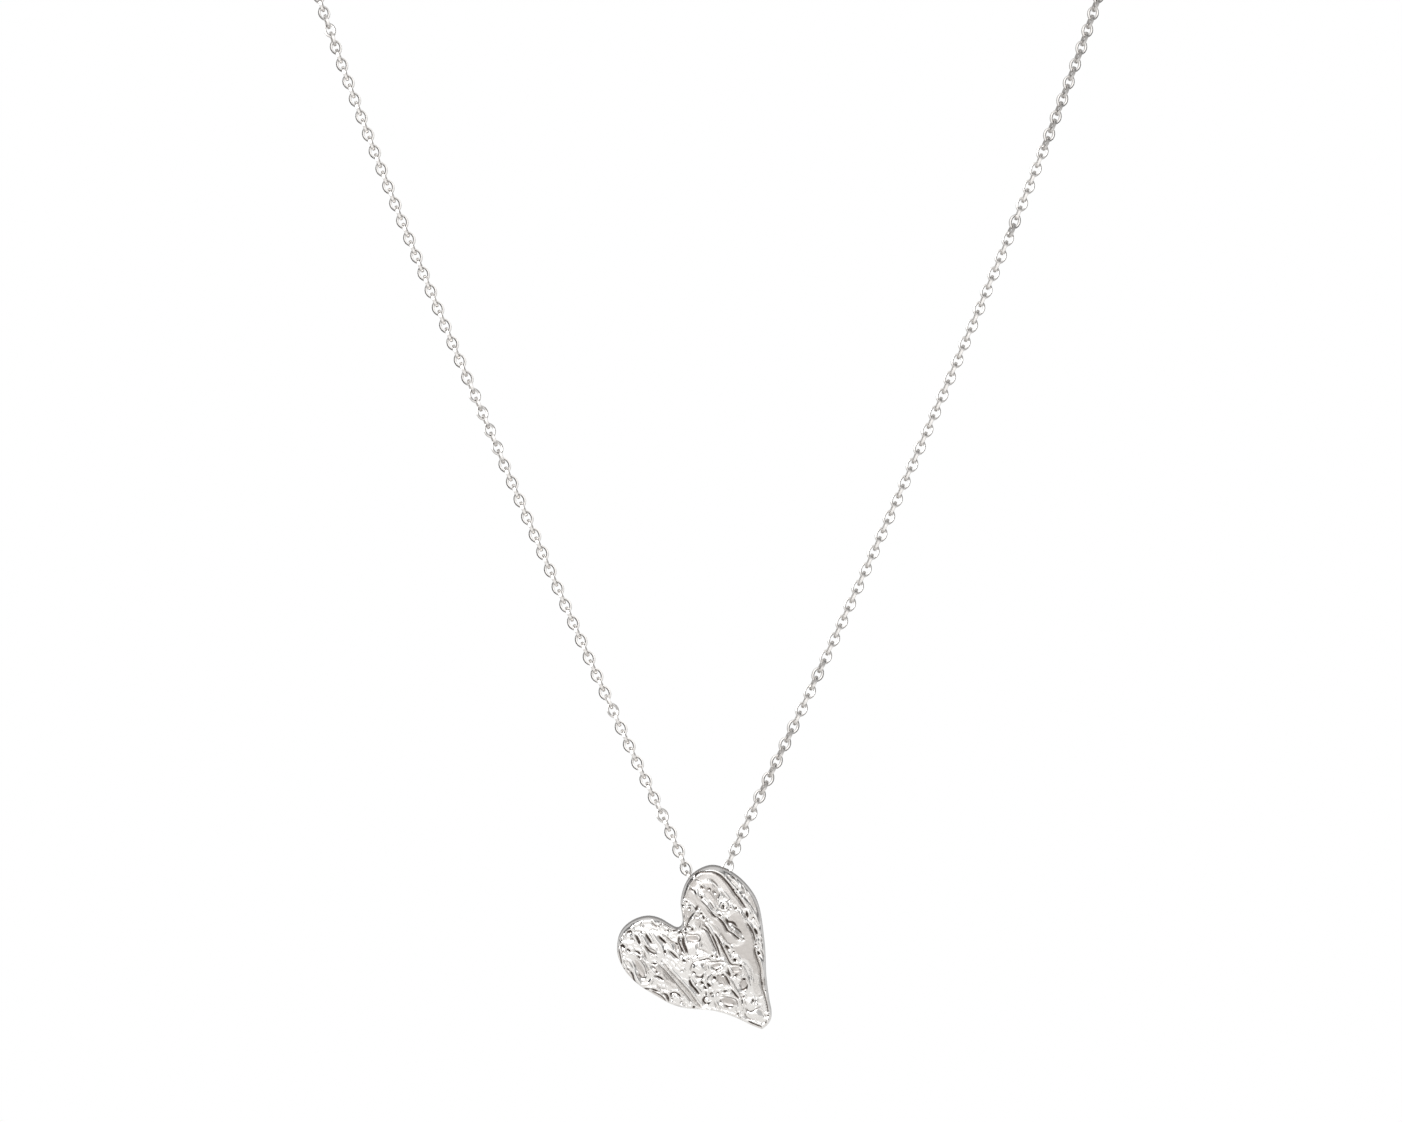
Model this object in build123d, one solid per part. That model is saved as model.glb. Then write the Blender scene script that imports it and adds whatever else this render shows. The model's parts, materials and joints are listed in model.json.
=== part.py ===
# Heart pendant in cast silver on a fine cable chain, shaped as it hangs round a neck.
# Millimetres. +X is the viewer's right, +Y points away from the viewer, +Z is up.
# The origin is the middle of the neck hollow, level with the chain at the nape.
from build123d import *
import math
import os
from collections import namedtuple

from scipy.spatial import Delaunay

os.makedirs("parts", exist_ok=True)

# Heart plate. Its flat back faces +Y and its cast face looks to the viewer.
heart_width = 18.54
heart_height = 20.45
heart_edge = 0.60           # upright wall round the edge
heart_body = 1.25           # plate thickness inside the rounded edge
heart_dome = 0.30           # how far the middle stands proud of the rim
dome_reach = 2.25           # how far from the edge the dome levels out
edge_round = 0.40           # width of the rounded edge
rim_height = 0.06           # bead that runs round the face, just inside the edge
rim_width = 0.30            # half of its width
relief_height = 0.30        # height of the tallest cast ridge
face_cell = 0.27            # size of the facets of the cast face
cell_clearance = 0.16       # how near the edge a facet's corner may lie
chain_above_left = 10.8     # from the left side of the heart to the bail
bail_drop = 3.08            # from the top of the heart down to the bail's bore
hang_tilt = 14.5            # how far the tip swings back when the heart hangs free

# Bail: a short tube soldered to the back, hidden by the upper lobe.
bail_bore = 2.20
bail_wall = 0.40
bail_length = 1.40
bail_seat = 0.05            # what is left between the bore and the plate's back
bore_lip = 0.15             # rounding of the bore's mouth

# Chain: fine oval cable links. The solid is the tube that the links fill.
chain_diameter = 1.56

# Clasp at the nape, with a ring on each side, and the eyes that end the chain.
clasp_outer = 5.70
clasp_wire = 1.10
clasp_eye_outer = 2.00
clasp_eye_wire = 0.50
thumb_length = 0.90
thumb_wire = 0.66
thumb_turn = 35.0           # from the clasp's top round towards the chain's right end
ring_outer = 3.44
ring_wire = 0.44
eye_outer = 1.96
eye_wire = 0.40
ring_gap = 0.25             # clearance of a ring inside the clasp
solder_sink = 0.20          # how far soldered rings sink into each other

# Places in the frame.
bail_place = (-0.18, -55.0, -131.35)
nape_depth = 44.3           # the clasp's place behind the middle of the neck

# Route of the chain, from the bail up each strand and round the neck. The two strands
# start a little unevenly, because the heart hangs to one side of its bail.
RoutePoint = namedtuple("RoutePoint", "x_left x_right y z")
chain_route = [
    RoutePoint(-3.45, 2.90, -54.1, -127.3),
    RoutePoint(-6.15, 5.65, -52.6, -121.6),
    RoutePoint(-10.45, 10.05, -50.5, -112.7),
    RoutePoint(-17.10, 16.85, -47.0, -98.2),
    RoutePoint(-25.06, 25.06, -42.8, -80.0),
    RoutePoint(-33.00, 33.05, -38.5, -61.6),
    RoutePoint(-40.62, 40.68, -34.3, -43.1),
    RoutePoint(-47.62, 47.70, -30.0, -24.4),
    RoutePoint(-50.60, 50.60, -25.0, -14.0),
    RoutePoint(-51.40, 51.40, -14.0, -7.6),
    RoutePoint(-49.90, 49.90, -0.5, -4.2),
    RoutePoint(-45.60, 45.60, 13.2, -2.2),
    RoutePoint(-37.90, 37.90, 26.0, -1.0),
    RoutePoint(-26.80, 26.80, 36.2, -0.3),
    RoutePoint(-13.60, 13.60, 42.9, 0.0),
]
bail_bend = 1.45            # half of the level run through the bail

# Chart of the cast face. It is drawn on squares: the heart lies between columns 17 and
# 171.5 and between rows 64 and 229, counted from the upper left.
chart_left, chart_right = 17.0, 171.5
chart_top, chart_bottom = 64.0, 229.0

heart_outline = [
    (76.5, 126.8), (80.5, 125.5), (82.6, 121.0), (82.0, 113.0), (80.6, 102.0),
    (82.0, 92.5), (84.8, 84.0), (89.5, 76.0), (96.0, 70.0), (104.0, 65.8), (112.0, 64.0),
    (121.0, 65.6), (131.0, 70.4), (140.5, 77.5), (148.5, 86.0), (155.2, 96.0),
    (159.3, 107.0), (161.8, 120.0), (163.6, 134.0), (165.0, 147.0), (165.7, 160.5),
    (166.2, 174.0), (167.5, 187.0), (169.6, 201.0), (171.5, 211.0), (171.0, 218.5),
    (167.6, 224.5), (162.0, 229.0), (151.0, 224.6), (137.0, 217.8), (124.0, 212.8),
    (110.5, 209.6), (94.5, 208.3), (84.0, 207.2), (73.0, 204.2), (64.0, 199.8),
    (53.0, 193.2), (41.5, 186.0), (32.5, 178.6), (25.5, 170.5), (20.6, 162.0),
    (17.5, 153.0), (17.2, 144.0), (19.2, 134.5), (24.0, 126.6), (32.5, 119.8),
    (42.5, 116.0), (51.5, 115.4), (61.0, 118.2), (70.0, 123.6),
]
HEART_TIP = (162.0, 229.0)

# Ridges and grooves: height as a share of relief_height, half width in squares, course.
Stroke = namedtuple("Stroke", "height reach course")
strokes = [
    # The long edge ridge of the upper lobe and the groove inside it.
    Stroke(0.7, 3.0, [(95, 70), (104, 68), (112, 68), (120, 71), (126, 76), (132, 82.5),
                      (137, 89), (142, 96), (147, 102), (152, 109), (156, 116), (159, 122)]),
    Stroke(-0.8, 1.8, [(95, 74), (104, 71), (111, 70.5), (117, 72), (122, 75.5), (126, 80),
                       (133, 89), (139, 97), (145, 105)]),
    # The main ridge down the middle of the upper lobe, with its groove.
    Stroke(1.0, 2.4, [(93, 87), (97, 92), (101, 98), (110, 107), (114, 111), (122, 117),
                      (126, 122), (129, 127), (133, 130), (138, 134), (143, 137)]),
    Stroke(-0.7, 1.6, [(90, 85), (94.5, 89.5), (100, 97), (104.5, 102), (111, 110),
                       (118, 116.5), (122, 120), (127, 129), (133, 133), (140, 139)]),
    Stroke(0.6, 2.0, [(90, 102), (94, 107), (98, 112.5)]),
    # The bundle of long ridges from the notch towards the tip.
    Stroke(0.8, 1.8, [(102.5, 124.5), (107, 128), (110, 133), (113, 139), (118, 151)]),
    Stroke(-0.7, 1.7, [(111, 131), (116, 143), (119, 155)]),
    Stroke(1.0, 2.0, [(113, 131), (117, 138), (121, 146)]),
    Stroke(1.0, 2.1, [(120, 138), (124, 145), (128, 152), (131, 157.5), (135, 161),
                      (141, 162), (144, 168), (147, 175), (149.5, 185)]),
    Stroke(0.6, 1.6, [(121, 134), (126, 140), (133, 147)]),
    Stroke(0.9, 1.9, [(107, 179), (111, 174), (116, 170.5), (121, 167.5), (125, 163)]),
    Stroke(1.0, 2.2, [(122, 170), (126, 173), (129, 177), (132, 182), (138, 192),
                      (142, 200), (142.5, 211)]),
    Stroke(-0.8, 1.6, [(123, 174), (128, 180), (134, 191.5), (139, 198.5)]),
    Stroke(0.8, 2.0, [(94, 157), (99, 154.5), (106, 153.5), (112, 156), (121, 157)]),
    # The long straight ridge of the left lobe, with the valley beside it.
    Stroke(0.9, 1.8, [(61, 162), (66, 168), (73, 176), (86, 191.5), (95, 203.5),
                      (101, 207.5), (111, 208)]),
    Stroke(-0.7, 3.2, [(58, 165), (66, 173), (73, 181), (79, 187)]),
    # The hooked ridge round the hollow of the left lobe.
    Stroke(0.9, 3.2, [(22, 156), (28, 160.5), (32, 166), (37, 177), (42.5, 182.5),
                      (48, 182.5), (52, 177.5)]),
    Stroke(-0.9, 1.8, [(30, 170), (34, 179), (41, 187), (51, 188.5), (61, 192)]),
    Stroke(0.6, 1.8, [(40, 156), (47, 166), (50, 176)]),
    # Slanting folds of the left lobe and the slits between them.
    Stroke(0.6, 2.5, [(40, 133), (45, 141), (49, 147)]),
    Stroke(0.6, 3.0, [(53, 133), (58, 140), (63, 148)]),
    Stroke(0.6, 2.6, [(63, 132), (70, 140), (73, 149)]),
    Stroke(-1.0, 1.7, [(35, 133), (39, 139), (41, 143)]),
    Stroke(-1.1, 1.7, [(46, 132), (50, 139), (53, 142)]),
    Stroke(-1.2, 1.7, [(58.5, 134), (67, 142)]),
    Stroke(-0.9, 2.1, [(44.5, 143.5), (50, 149.5), (57, 151.5)]),
    Stroke(-0.9, 1.7, [(34.5, 149), (42, 153)]),
    Stroke(-1.1, 2.1, [(19.5, 144), (25.5, 145.5)]),
    Stroke(-1.1, 1.7, [(54.5, 174.8), (59, 175.6), (64, 179)]),
    Stroke(-0.8, 1.7, [(69, 149), (73, 152.5), (78.5, 158)]),
    Stroke(-0.9, 2.2, [(26, 131), (31, 130)]),
    Stroke(0.8, 1.6, [(81, 136), (82, 143), (86, 152)]),
    Stroke(-0.8, 1.6, [(84, 135), (85, 143), (89, 152)]),
    # The edge ridge of the right side.
    Stroke(0.8, 2.3, [(136, 109), (141, 111), (146, 119.5), (150, 123), (156, 134),
                      (157.5, 142), (157, 147)]),
    Stroke(-0.7, 1.6, [(146, 122), (152, 130), (154.5, 141)]),
    Stroke(0.8, 2.3, [(156.5, 152), (160, 158), (163, 167), (163.3, 176)]),
    Stroke(0.7, 1.8, [(164.5, 187), (168, 199), (170, 212)]),
    Stroke(-1.0, 2.0, [(126, 117), (133, 121.5), (140, 130)]),
    Stroke(-1.0, 1.8, [(146.5, 109), (148, 116)]),
    Stroke(-1.0, 1.6, [(90, 178), (94, 186.5), (99.5, 193.5)]),
    Stroke(-0.9, 1.8, [(102, 181), (107, 188.5)]),
    Stroke(-0.9, 1.5, [(148.5, 220.6), (161, 226.5)]),
]

# Plates, hollows, beads and pits: middle, half length and half width in squares, the
# turn of the long side in degrees and the height as a share of relief_height.
Patch = namedtuple("Patch", "column row half_length half_width turn height")
patches = [
    Patch(98, 167, 7.0, 7.0, 0, 0.6),
    Patch(128, 200.5, 8.5, 4.4, 12, -0.8),
    Patch(39, 166, 11.0, 5.0, 58, -0.7),
    Patch(93, 136.5, 7.0, 3.6, 0, -0.5),
    Patch(90, 147, 6.5, 6.0, 45, 0.4),
    Patch(143.5, 184.5, 6.0, 4.4, 70, -0.9),
    Patch(121, 179, 6.0, 5.5, 0, -0.5),
    Patch(114.5, 197, 4.2, 4.2, 0, 0.6),
    Patch(151, 203.5, 8.0, 6.0, 90, 0.5),
    Patch(155, 214.8, 9.0, 5.0, 12, 0.6),
    Patch(76.5, 199, 6.0, 5.5, 20, 0.5),
    Patch(83, 99.5, 3.0, 3.0, 0, 0.7),
    Patch(92.7, 116.7, 2.6, 2.6, 0, 0.8),
    Patch(88, 127.5, 3.0, 2.4, 0, 0.7),
    Patch(124, 104.5, 4.6, 4.6, 0, 0.5),
    Patch(77, 146, 4.5, 2.6, 80, -0.7),
    Patch(114.5, 176.5, 2.5, 2.5, 0, -1.2),
    Patch(117, 165, 4.5, 3.0, 0, -0.6),
]


def chart_to_plate(column, row):
    """Place of a chart point on the plate: x to the right and z up from the bail's bore."""
    across = (column - chart_left) / (chart_right - chart_left)
    down = (row - chart_top) / (chart_bottom - chart_top)
    return (across * heart_width - chain_above_left, bail_drop - down * heart_height)


square_x = heart_width / (chart_right - chart_left)
square_z = heart_height / (chart_bottom - chart_top)


def smooth_outline():
    """The heart's edge as a smooth closed line through the outline's points."""
    points = []
    count = len(heart_outline)
    for index, start in enumerate(heart_outline):
        before = heart_outline[index - 1]
        end = heart_outline[(index + 1) % count]
        after = heart_outline[(index + 2) % count]
        if start == HEART_TIP:
            before = start
        if end == HEART_TIP:
            after = end
        length = math.dist(chart_to_plate(*start), chart_to_plate(*end))
        steps = max(1, round(length / face_cell))
        for step in range(steps):
            t = step / steps
            point = []
            for a, b, c, d in zip(before, start, end, after):
                bend = (c - a) * t + (2 * a - 5 * b + 4 * c - d) * t**2
                point.append(b + (bend + (3 * b - a - 3 * c + d) * t**3) / 2)
            points.append(chart_to_plate(*point))
    return points


def distance_to_run(point, start, end):
    """Distance from a point to the straight run between two others."""
    run_x = end[0] - start[0]
    run_y = end[1] - start[1]
    along = (point[0] - start[0]) * run_x + (point[1] - start[1]) * run_y
    share = min(1.0, max(0.0, along / (run_x**2 + run_y**2)))
    return math.hypot(point[0] - start[0] - share * run_x, point[1] - start[1] - share * run_y)


def bump(distance):
    """Rounded rise from 0 at a distance of 1 to 1 in the middle."""
    if distance >= 1:
        return 0.0
    return 0.5 + 0.5 * math.cos(math.pi * distance)


def relief(column, row):
    """Height of the cast relief at a chart point, as a share of relief_height."""
    highest = 0.0
    lowest = 0.0
    for stroke in strokes:
        nearest = min(
            distance_to_run((column, row), start, end)
            for start, end in zip(stroke.course, stroke.course[1:])
        )
        level = stroke.height * bump(nearest / stroke.reach)
        highest = max(highest, level)
        lowest = min(lowest, level)
    for patch in patches:
        turn = math.radians(patch.turn)
        across = column - patch.column
        down = row - patch.row
        long_way = (across * math.cos(turn) + down * math.sin(turn)) / patch.half_length
        short_way = (down * math.cos(turn) - across * math.sin(turn)) / patch.half_width
        level = patch.height * bump(math.hypot(long_way, short_way) ** 2)
        highest = max(highest, level)
        lowest = min(lowest, level)
    return highest + lowest


def face_height(x, z, edge):
    """Thickness of the plate at a place on it, from its flat back."""
    runs = zip(edge, edge[1:] + edge[:1])
    inset = min(distance_to_run((x, z), start, end) for start, end in runs)
    share = min(1.0, inset / edge_round)
    height = heart_edge + (heart_body - heart_edge) * math.sqrt(1 - (1 - share) ** 2)
    height += heart_dome * (1 - math.exp(-((inset / dome_reach) ** 2)))
    height += rim_height * bump(abs(inset - edge_round) / rim_width)
    # The chart shows the heart as it hangs, where what stands proud is seen a little lower.
    lowered = z - (height - heart_edge) * math.tan(math.radians(hang_tilt))
    column = chart_left + (x + chain_above_left) / square_x
    row = chart_top + (bail_drop - lowered) / square_z
    return height + relief_height * share**2 * relief(column, row)


def inside(point, edge):
    """Whether a point lies within the heart's edge."""
    crossings = 0
    for start, end in zip(edge, edge[1:] + edge[:1]):
        if (start[1] > point[1]) != (end[1] > point[1]):
            share = (point[1] - start[1]) / (end[1] - start[1])
            if point[0] < start[0] + share * (end[0] - start[0]):
                crossings += 1
    return crossings % 2 == 1


def face_points(edge):
    """Points over the face, in staggered rows a facet apart, clear of the edge."""
    points = []
    row_step = face_cell * math.sqrt(3) / 2
    lowest = min(z for x, z in edge)
    highest = max(z for x, z in edge)
    left = min(x for x, z in edge)
    right = max(x for x, z in edge)
    for row in range(int((highest - lowest) / row_step) + 1):
        z = lowest + row * row_step
        shift = face_cell / 2 * (row % 2)
        for column in range(int((right - left) / face_cell) + 1):
            x = left + shift + column * face_cell
            if not inside((x, z), edge):
                continue
            runs = zip(edge, edge[1:] + edge[:1])
            if min(distance_to_run((x, z), start, end) for start, end in runs) > cell_clearance:
                points.append((x, z))
    return points


def facet(*corners):
    """A flat face between corners."""
    return Face(Wire.make_polygon([Vector(*corner) for corner in corners]))


def heart_plate():
    """The cast plate: flat back, upright edge and a faceted face with its relief."""
    back = -(bail_bore / 2 + bail_seat)
    edge = smooth_outline()
    inner = face_points(edge)
    places = edge + inner
    heights = [heart_edge] * len(edge) + [face_height(x, z, edge) for x, z in inner]
    corners = [(x, back - height, z) for (x, z), height in zip(places, heights)]
    faces = []
    for a, b, c in Delaunay(places).simplices:
        middle = (
            (places[a][0] + places[b][0] + places[c][0]) / 3,
            (places[a][1] + places[b][1] + places[c][1]) / 3,
        )
        if inside(middle, edge):
            faces.append(facet(corners[a], corners[b], corners[c]))
    facets = len(faces)
    rear = [(x, back, z) for x, z in edge]
    for index in range(len(edge)):
        after = (index + 1) % len(edge)
        faces.append(facet(corners[index], corners[after], rear[after], rear[index]))
    faces.append(facet(*rear))
    print("heart facets", facets, "edge walls", len(edge))
    return Solid(Shell(faces))


def bail():
    """The short tube on the heart's back, its bore along X with rounded mouths."""
    tube = Cylinder(bail_bore / 2 + bail_wall, bail_length) - Cylinder(bail_bore / 2, bail_length)
    mouths = tube.edges().filter_by(GeomType.CIRCLE).filter_by(
        lambda edge: abs(edge.radius - bail_bore / 2) < bail_wall / 2
    )
    return Rot(0, 90, 0) * fillet(mouths, bore_lip)


def heart():
    """Plate and bail soldered together, hung from the bail at its resting tilt."""
    whole = bail() + heart_plate()
    return Pos(*bail_place) * (Rot(hang_tilt, 0, 0) * whole)


def ring(outer, wire, axis):
    """A round wire ring about an axis through the origin."""
    torus = Torus(outer / 2 - wire / 2, wire / 2)
    return (Rot(90, 0, 0) if axis == "Y" else Rot(0, 0, 0)) * torus


# Places of the rings along X at the nape. A ring crosses the clasp's and the chain's own
# plane at its two sides, and each crossing is in the middle of the eye that it goes through.
ring_span = ring_outer - ring_wire
clasp_eye_shift = clasp_outer / 2 + clasp_eye_outer / 2 - solder_sink
hook_shift = clasp_outer / 2 - clasp_wire - ring_gap - ring_wire / 2
left_reach = clasp_eye_shift + ring_span
right_reach = hook_shift + ring_span
clasp_x = (left_reach - right_reach) / 2
eye_x = (left_reach + right_reach) / 2


def clasp():
    """Plain spring ring with its eye and thumb stub, one piece."""
    body = ring(clasp_outer, clasp_wire, "Y")
    eye = Pos(-clasp_eye_shift, 0, 0) * ring(clasp_eye_outer, clasp_eye_wire, "Y")
    stub = Cylinder(thumb_wire / 2, thumb_length)
    thumb_place = Pos(0, 0, clasp_outer / 2 + thumb_length / 2 - clasp_wire / 2)
    thumb = Rot(0, thumb_turn, 0) * thumb_place * stub
    return Pos(clasp_x, nape_depth, 0) * (body + eye + thumb)


def clasp_ring():
    """Ring between the clasp's eye and the left end of the chain."""
    middle = clasp_x - clasp_eye_shift - ring_span / 2
    return Pos(middle, nape_depth, 0) * ring(ring_outer, ring_wire, "Z")


def end_ring():
    """Ring at the right end of the chain, hooked in the clasp."""
    middle = clasp_x + hook_shift + ring_span / 2
    return Pos(middle, nape_depth, 0) * ring(ring_outer, ring_wire, "Z")


def chain_points():
    """The whole route of the chain, from its left end at the nape round to its right end."""
    chain_end = eye_x + eye_outer / 2 - solder_sink
    left = [(point.x_left, point.y, point.z) for point in reversed(chain_route)]
    right = [(point.x_right, point.y, point.z) for point in chain_route]
    bend = [(bail_place[0] + side * bail_bend, bail_place[1], bail_place[2]) for side in (-1, 1)]
    return [(-chain_end, nape_depth, 0)] + left + bend + right + [(chain_end, nape_depth, 0)]


def corner_radii(points):
    """Each arc as large as its two runs allow."""
    radii = []
    for before, corner, after in zip(points, points[1:], points[2:]):
        first = Vector(*corner) - Vector(*before)
        second = Vector(*after) - Vector(*corner)
        half_turn = math.radians(first.get_angle(second)) / 2
        radii.append(0.45 * min(first.length, second.length) / math.tan(half_turn))
    return radii


def chain():
    """The chain's tube with a closed eye at each end."""
    points = chain_points()
    radii = corner_radii(points)
    path = FilletPolyline(*points, radius=radii)
    section = Plane(path @ 0, z_dir=path % 0) * Circle(chain_diameter / 2)
    tube = sweep(section, path=path)
    print("chain radii", [round(radius, 1) for radius in radii])
    print("chain length", round(path.length, 1))
    area = math.pi * chain_diameter**2 / 4
    print("tube volume over section times length", round(tube.volume / area / path.length, 5))
    for side in (-1, 1):
        tube += Pos(side * eye_x, nape_depth, 0) * ring(eye_outer, eye_wire, "Y")
    return tube


pieces = {
    "heart": heart(),
    "chain": chain(),
    "clasp": clasp(),
    "clasp_ring": clasp_ring(),
    "end_ring": end_ring(),
}
for name, piece in pieces.items():
    export_step(piece, "parts/" + name + ".step")

heart_middle = pieces["heart"].center(CenterOf.MASS)
print("heart volume", round(pieces["heart"].volume, 1))
print("heart middle behind the bail", round(heart_middle.Y - bail_place[1], 2))
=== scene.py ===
from collections import namedtuple
import json
import math

import bmesh
import bpy
import numpy as np
from bpy.props import FloatProperty, FloatVectorProperty, IntProperty, PointerProperty
from mathutils import Matrix, Vector, geometry, noise


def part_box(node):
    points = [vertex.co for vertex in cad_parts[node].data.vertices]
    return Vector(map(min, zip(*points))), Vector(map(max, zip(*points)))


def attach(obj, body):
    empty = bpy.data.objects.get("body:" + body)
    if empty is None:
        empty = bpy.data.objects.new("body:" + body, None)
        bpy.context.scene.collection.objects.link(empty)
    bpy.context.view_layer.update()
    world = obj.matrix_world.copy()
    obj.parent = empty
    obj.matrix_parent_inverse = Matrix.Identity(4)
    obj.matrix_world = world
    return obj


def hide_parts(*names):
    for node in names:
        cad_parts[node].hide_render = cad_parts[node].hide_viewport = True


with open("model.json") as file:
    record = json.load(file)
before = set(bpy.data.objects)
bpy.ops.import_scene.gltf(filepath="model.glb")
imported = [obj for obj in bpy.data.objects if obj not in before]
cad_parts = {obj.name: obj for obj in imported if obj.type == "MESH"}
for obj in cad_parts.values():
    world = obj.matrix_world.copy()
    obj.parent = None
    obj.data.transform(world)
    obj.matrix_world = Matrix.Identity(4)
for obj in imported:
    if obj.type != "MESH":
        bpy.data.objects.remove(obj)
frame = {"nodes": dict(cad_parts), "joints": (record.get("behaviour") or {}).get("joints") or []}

bl_info = {
    "name": "Cast Silver Heart Pendant",
    "version": (1, 0, 0),
    "blender": (4, 5, 0),
    "location": "3D View > Sidebar > Heart Pendant",
    "description": "Builds the looks of a cast silver heart pendant on a fine cable chain",
    "category": "Add Mesh",
}

MM = 0.001

# The bail's bore is the pendant's pivot, and everything on the heart is placed from it.
swing = next(joint for joint in frame["joints"] if joint["name"] == "pendant_swing")
bail_place = Vector(swing["pos_m"])
heart_low, heart_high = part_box("heart")
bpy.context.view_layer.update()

# Chart of the cast face. It is drawn on squares: the heart lies between these columns and
# rows, counted from the upper left.
CHART_LEFT, CHART_RIGHT = 17.0, 171.5
CHART_TOP, CHART_BOTTOM = 64.0, 229.0

HEART_OUTLINE = [
    (76.5, 126.8), (80.5, 125.5), (82.6, 121.0), (82.0, 113.0), (80.6, 102.0),
    (82.0, 92.5), (84.8, 84.0), (89.5, 76.0), (96.0, 70.0), (104.0, 65.8), (112.0, 64.0),
    (121.0, 65.6), (131.0, 70.4), (140.5, 77.5), (148.5, 86.0), (155.2, 96.0),
    (159.3, 107.0), (161.8, 120.0), (163.6, 134.0), (165.0, 147.0), (165.7, 160.5),
    (166.2, 174.0), (167.5, 187.0), (169.6, 201.0), (171.5, 211.0), (171.0, 218.5),
    (167.6, 224.5), (162.0, 229.0), (151.0, 224.6), (137.0, 217.8), (124.0, 212.8),
    (110.5, 209.6), (94.5, 208.3), (84.0, 207.2), (73.0, 204.2), (64.0, 199.8),
    (53.0, 193.2), (41.5, 186.0), (32.5, 178.6), (25.5, 170.5), (20.6, 162.0),
    (17.5, 153.0), (17.2, 144.0), (19.2, 134.5), (24.0, 126.6), (32.5, 119.8),
    (42.5, 116.0), (51.5, 115.4), (61.0, 118.2), (70.0, 123.6),
]
HEART_TIP = (162.0, 229.0)

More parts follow.
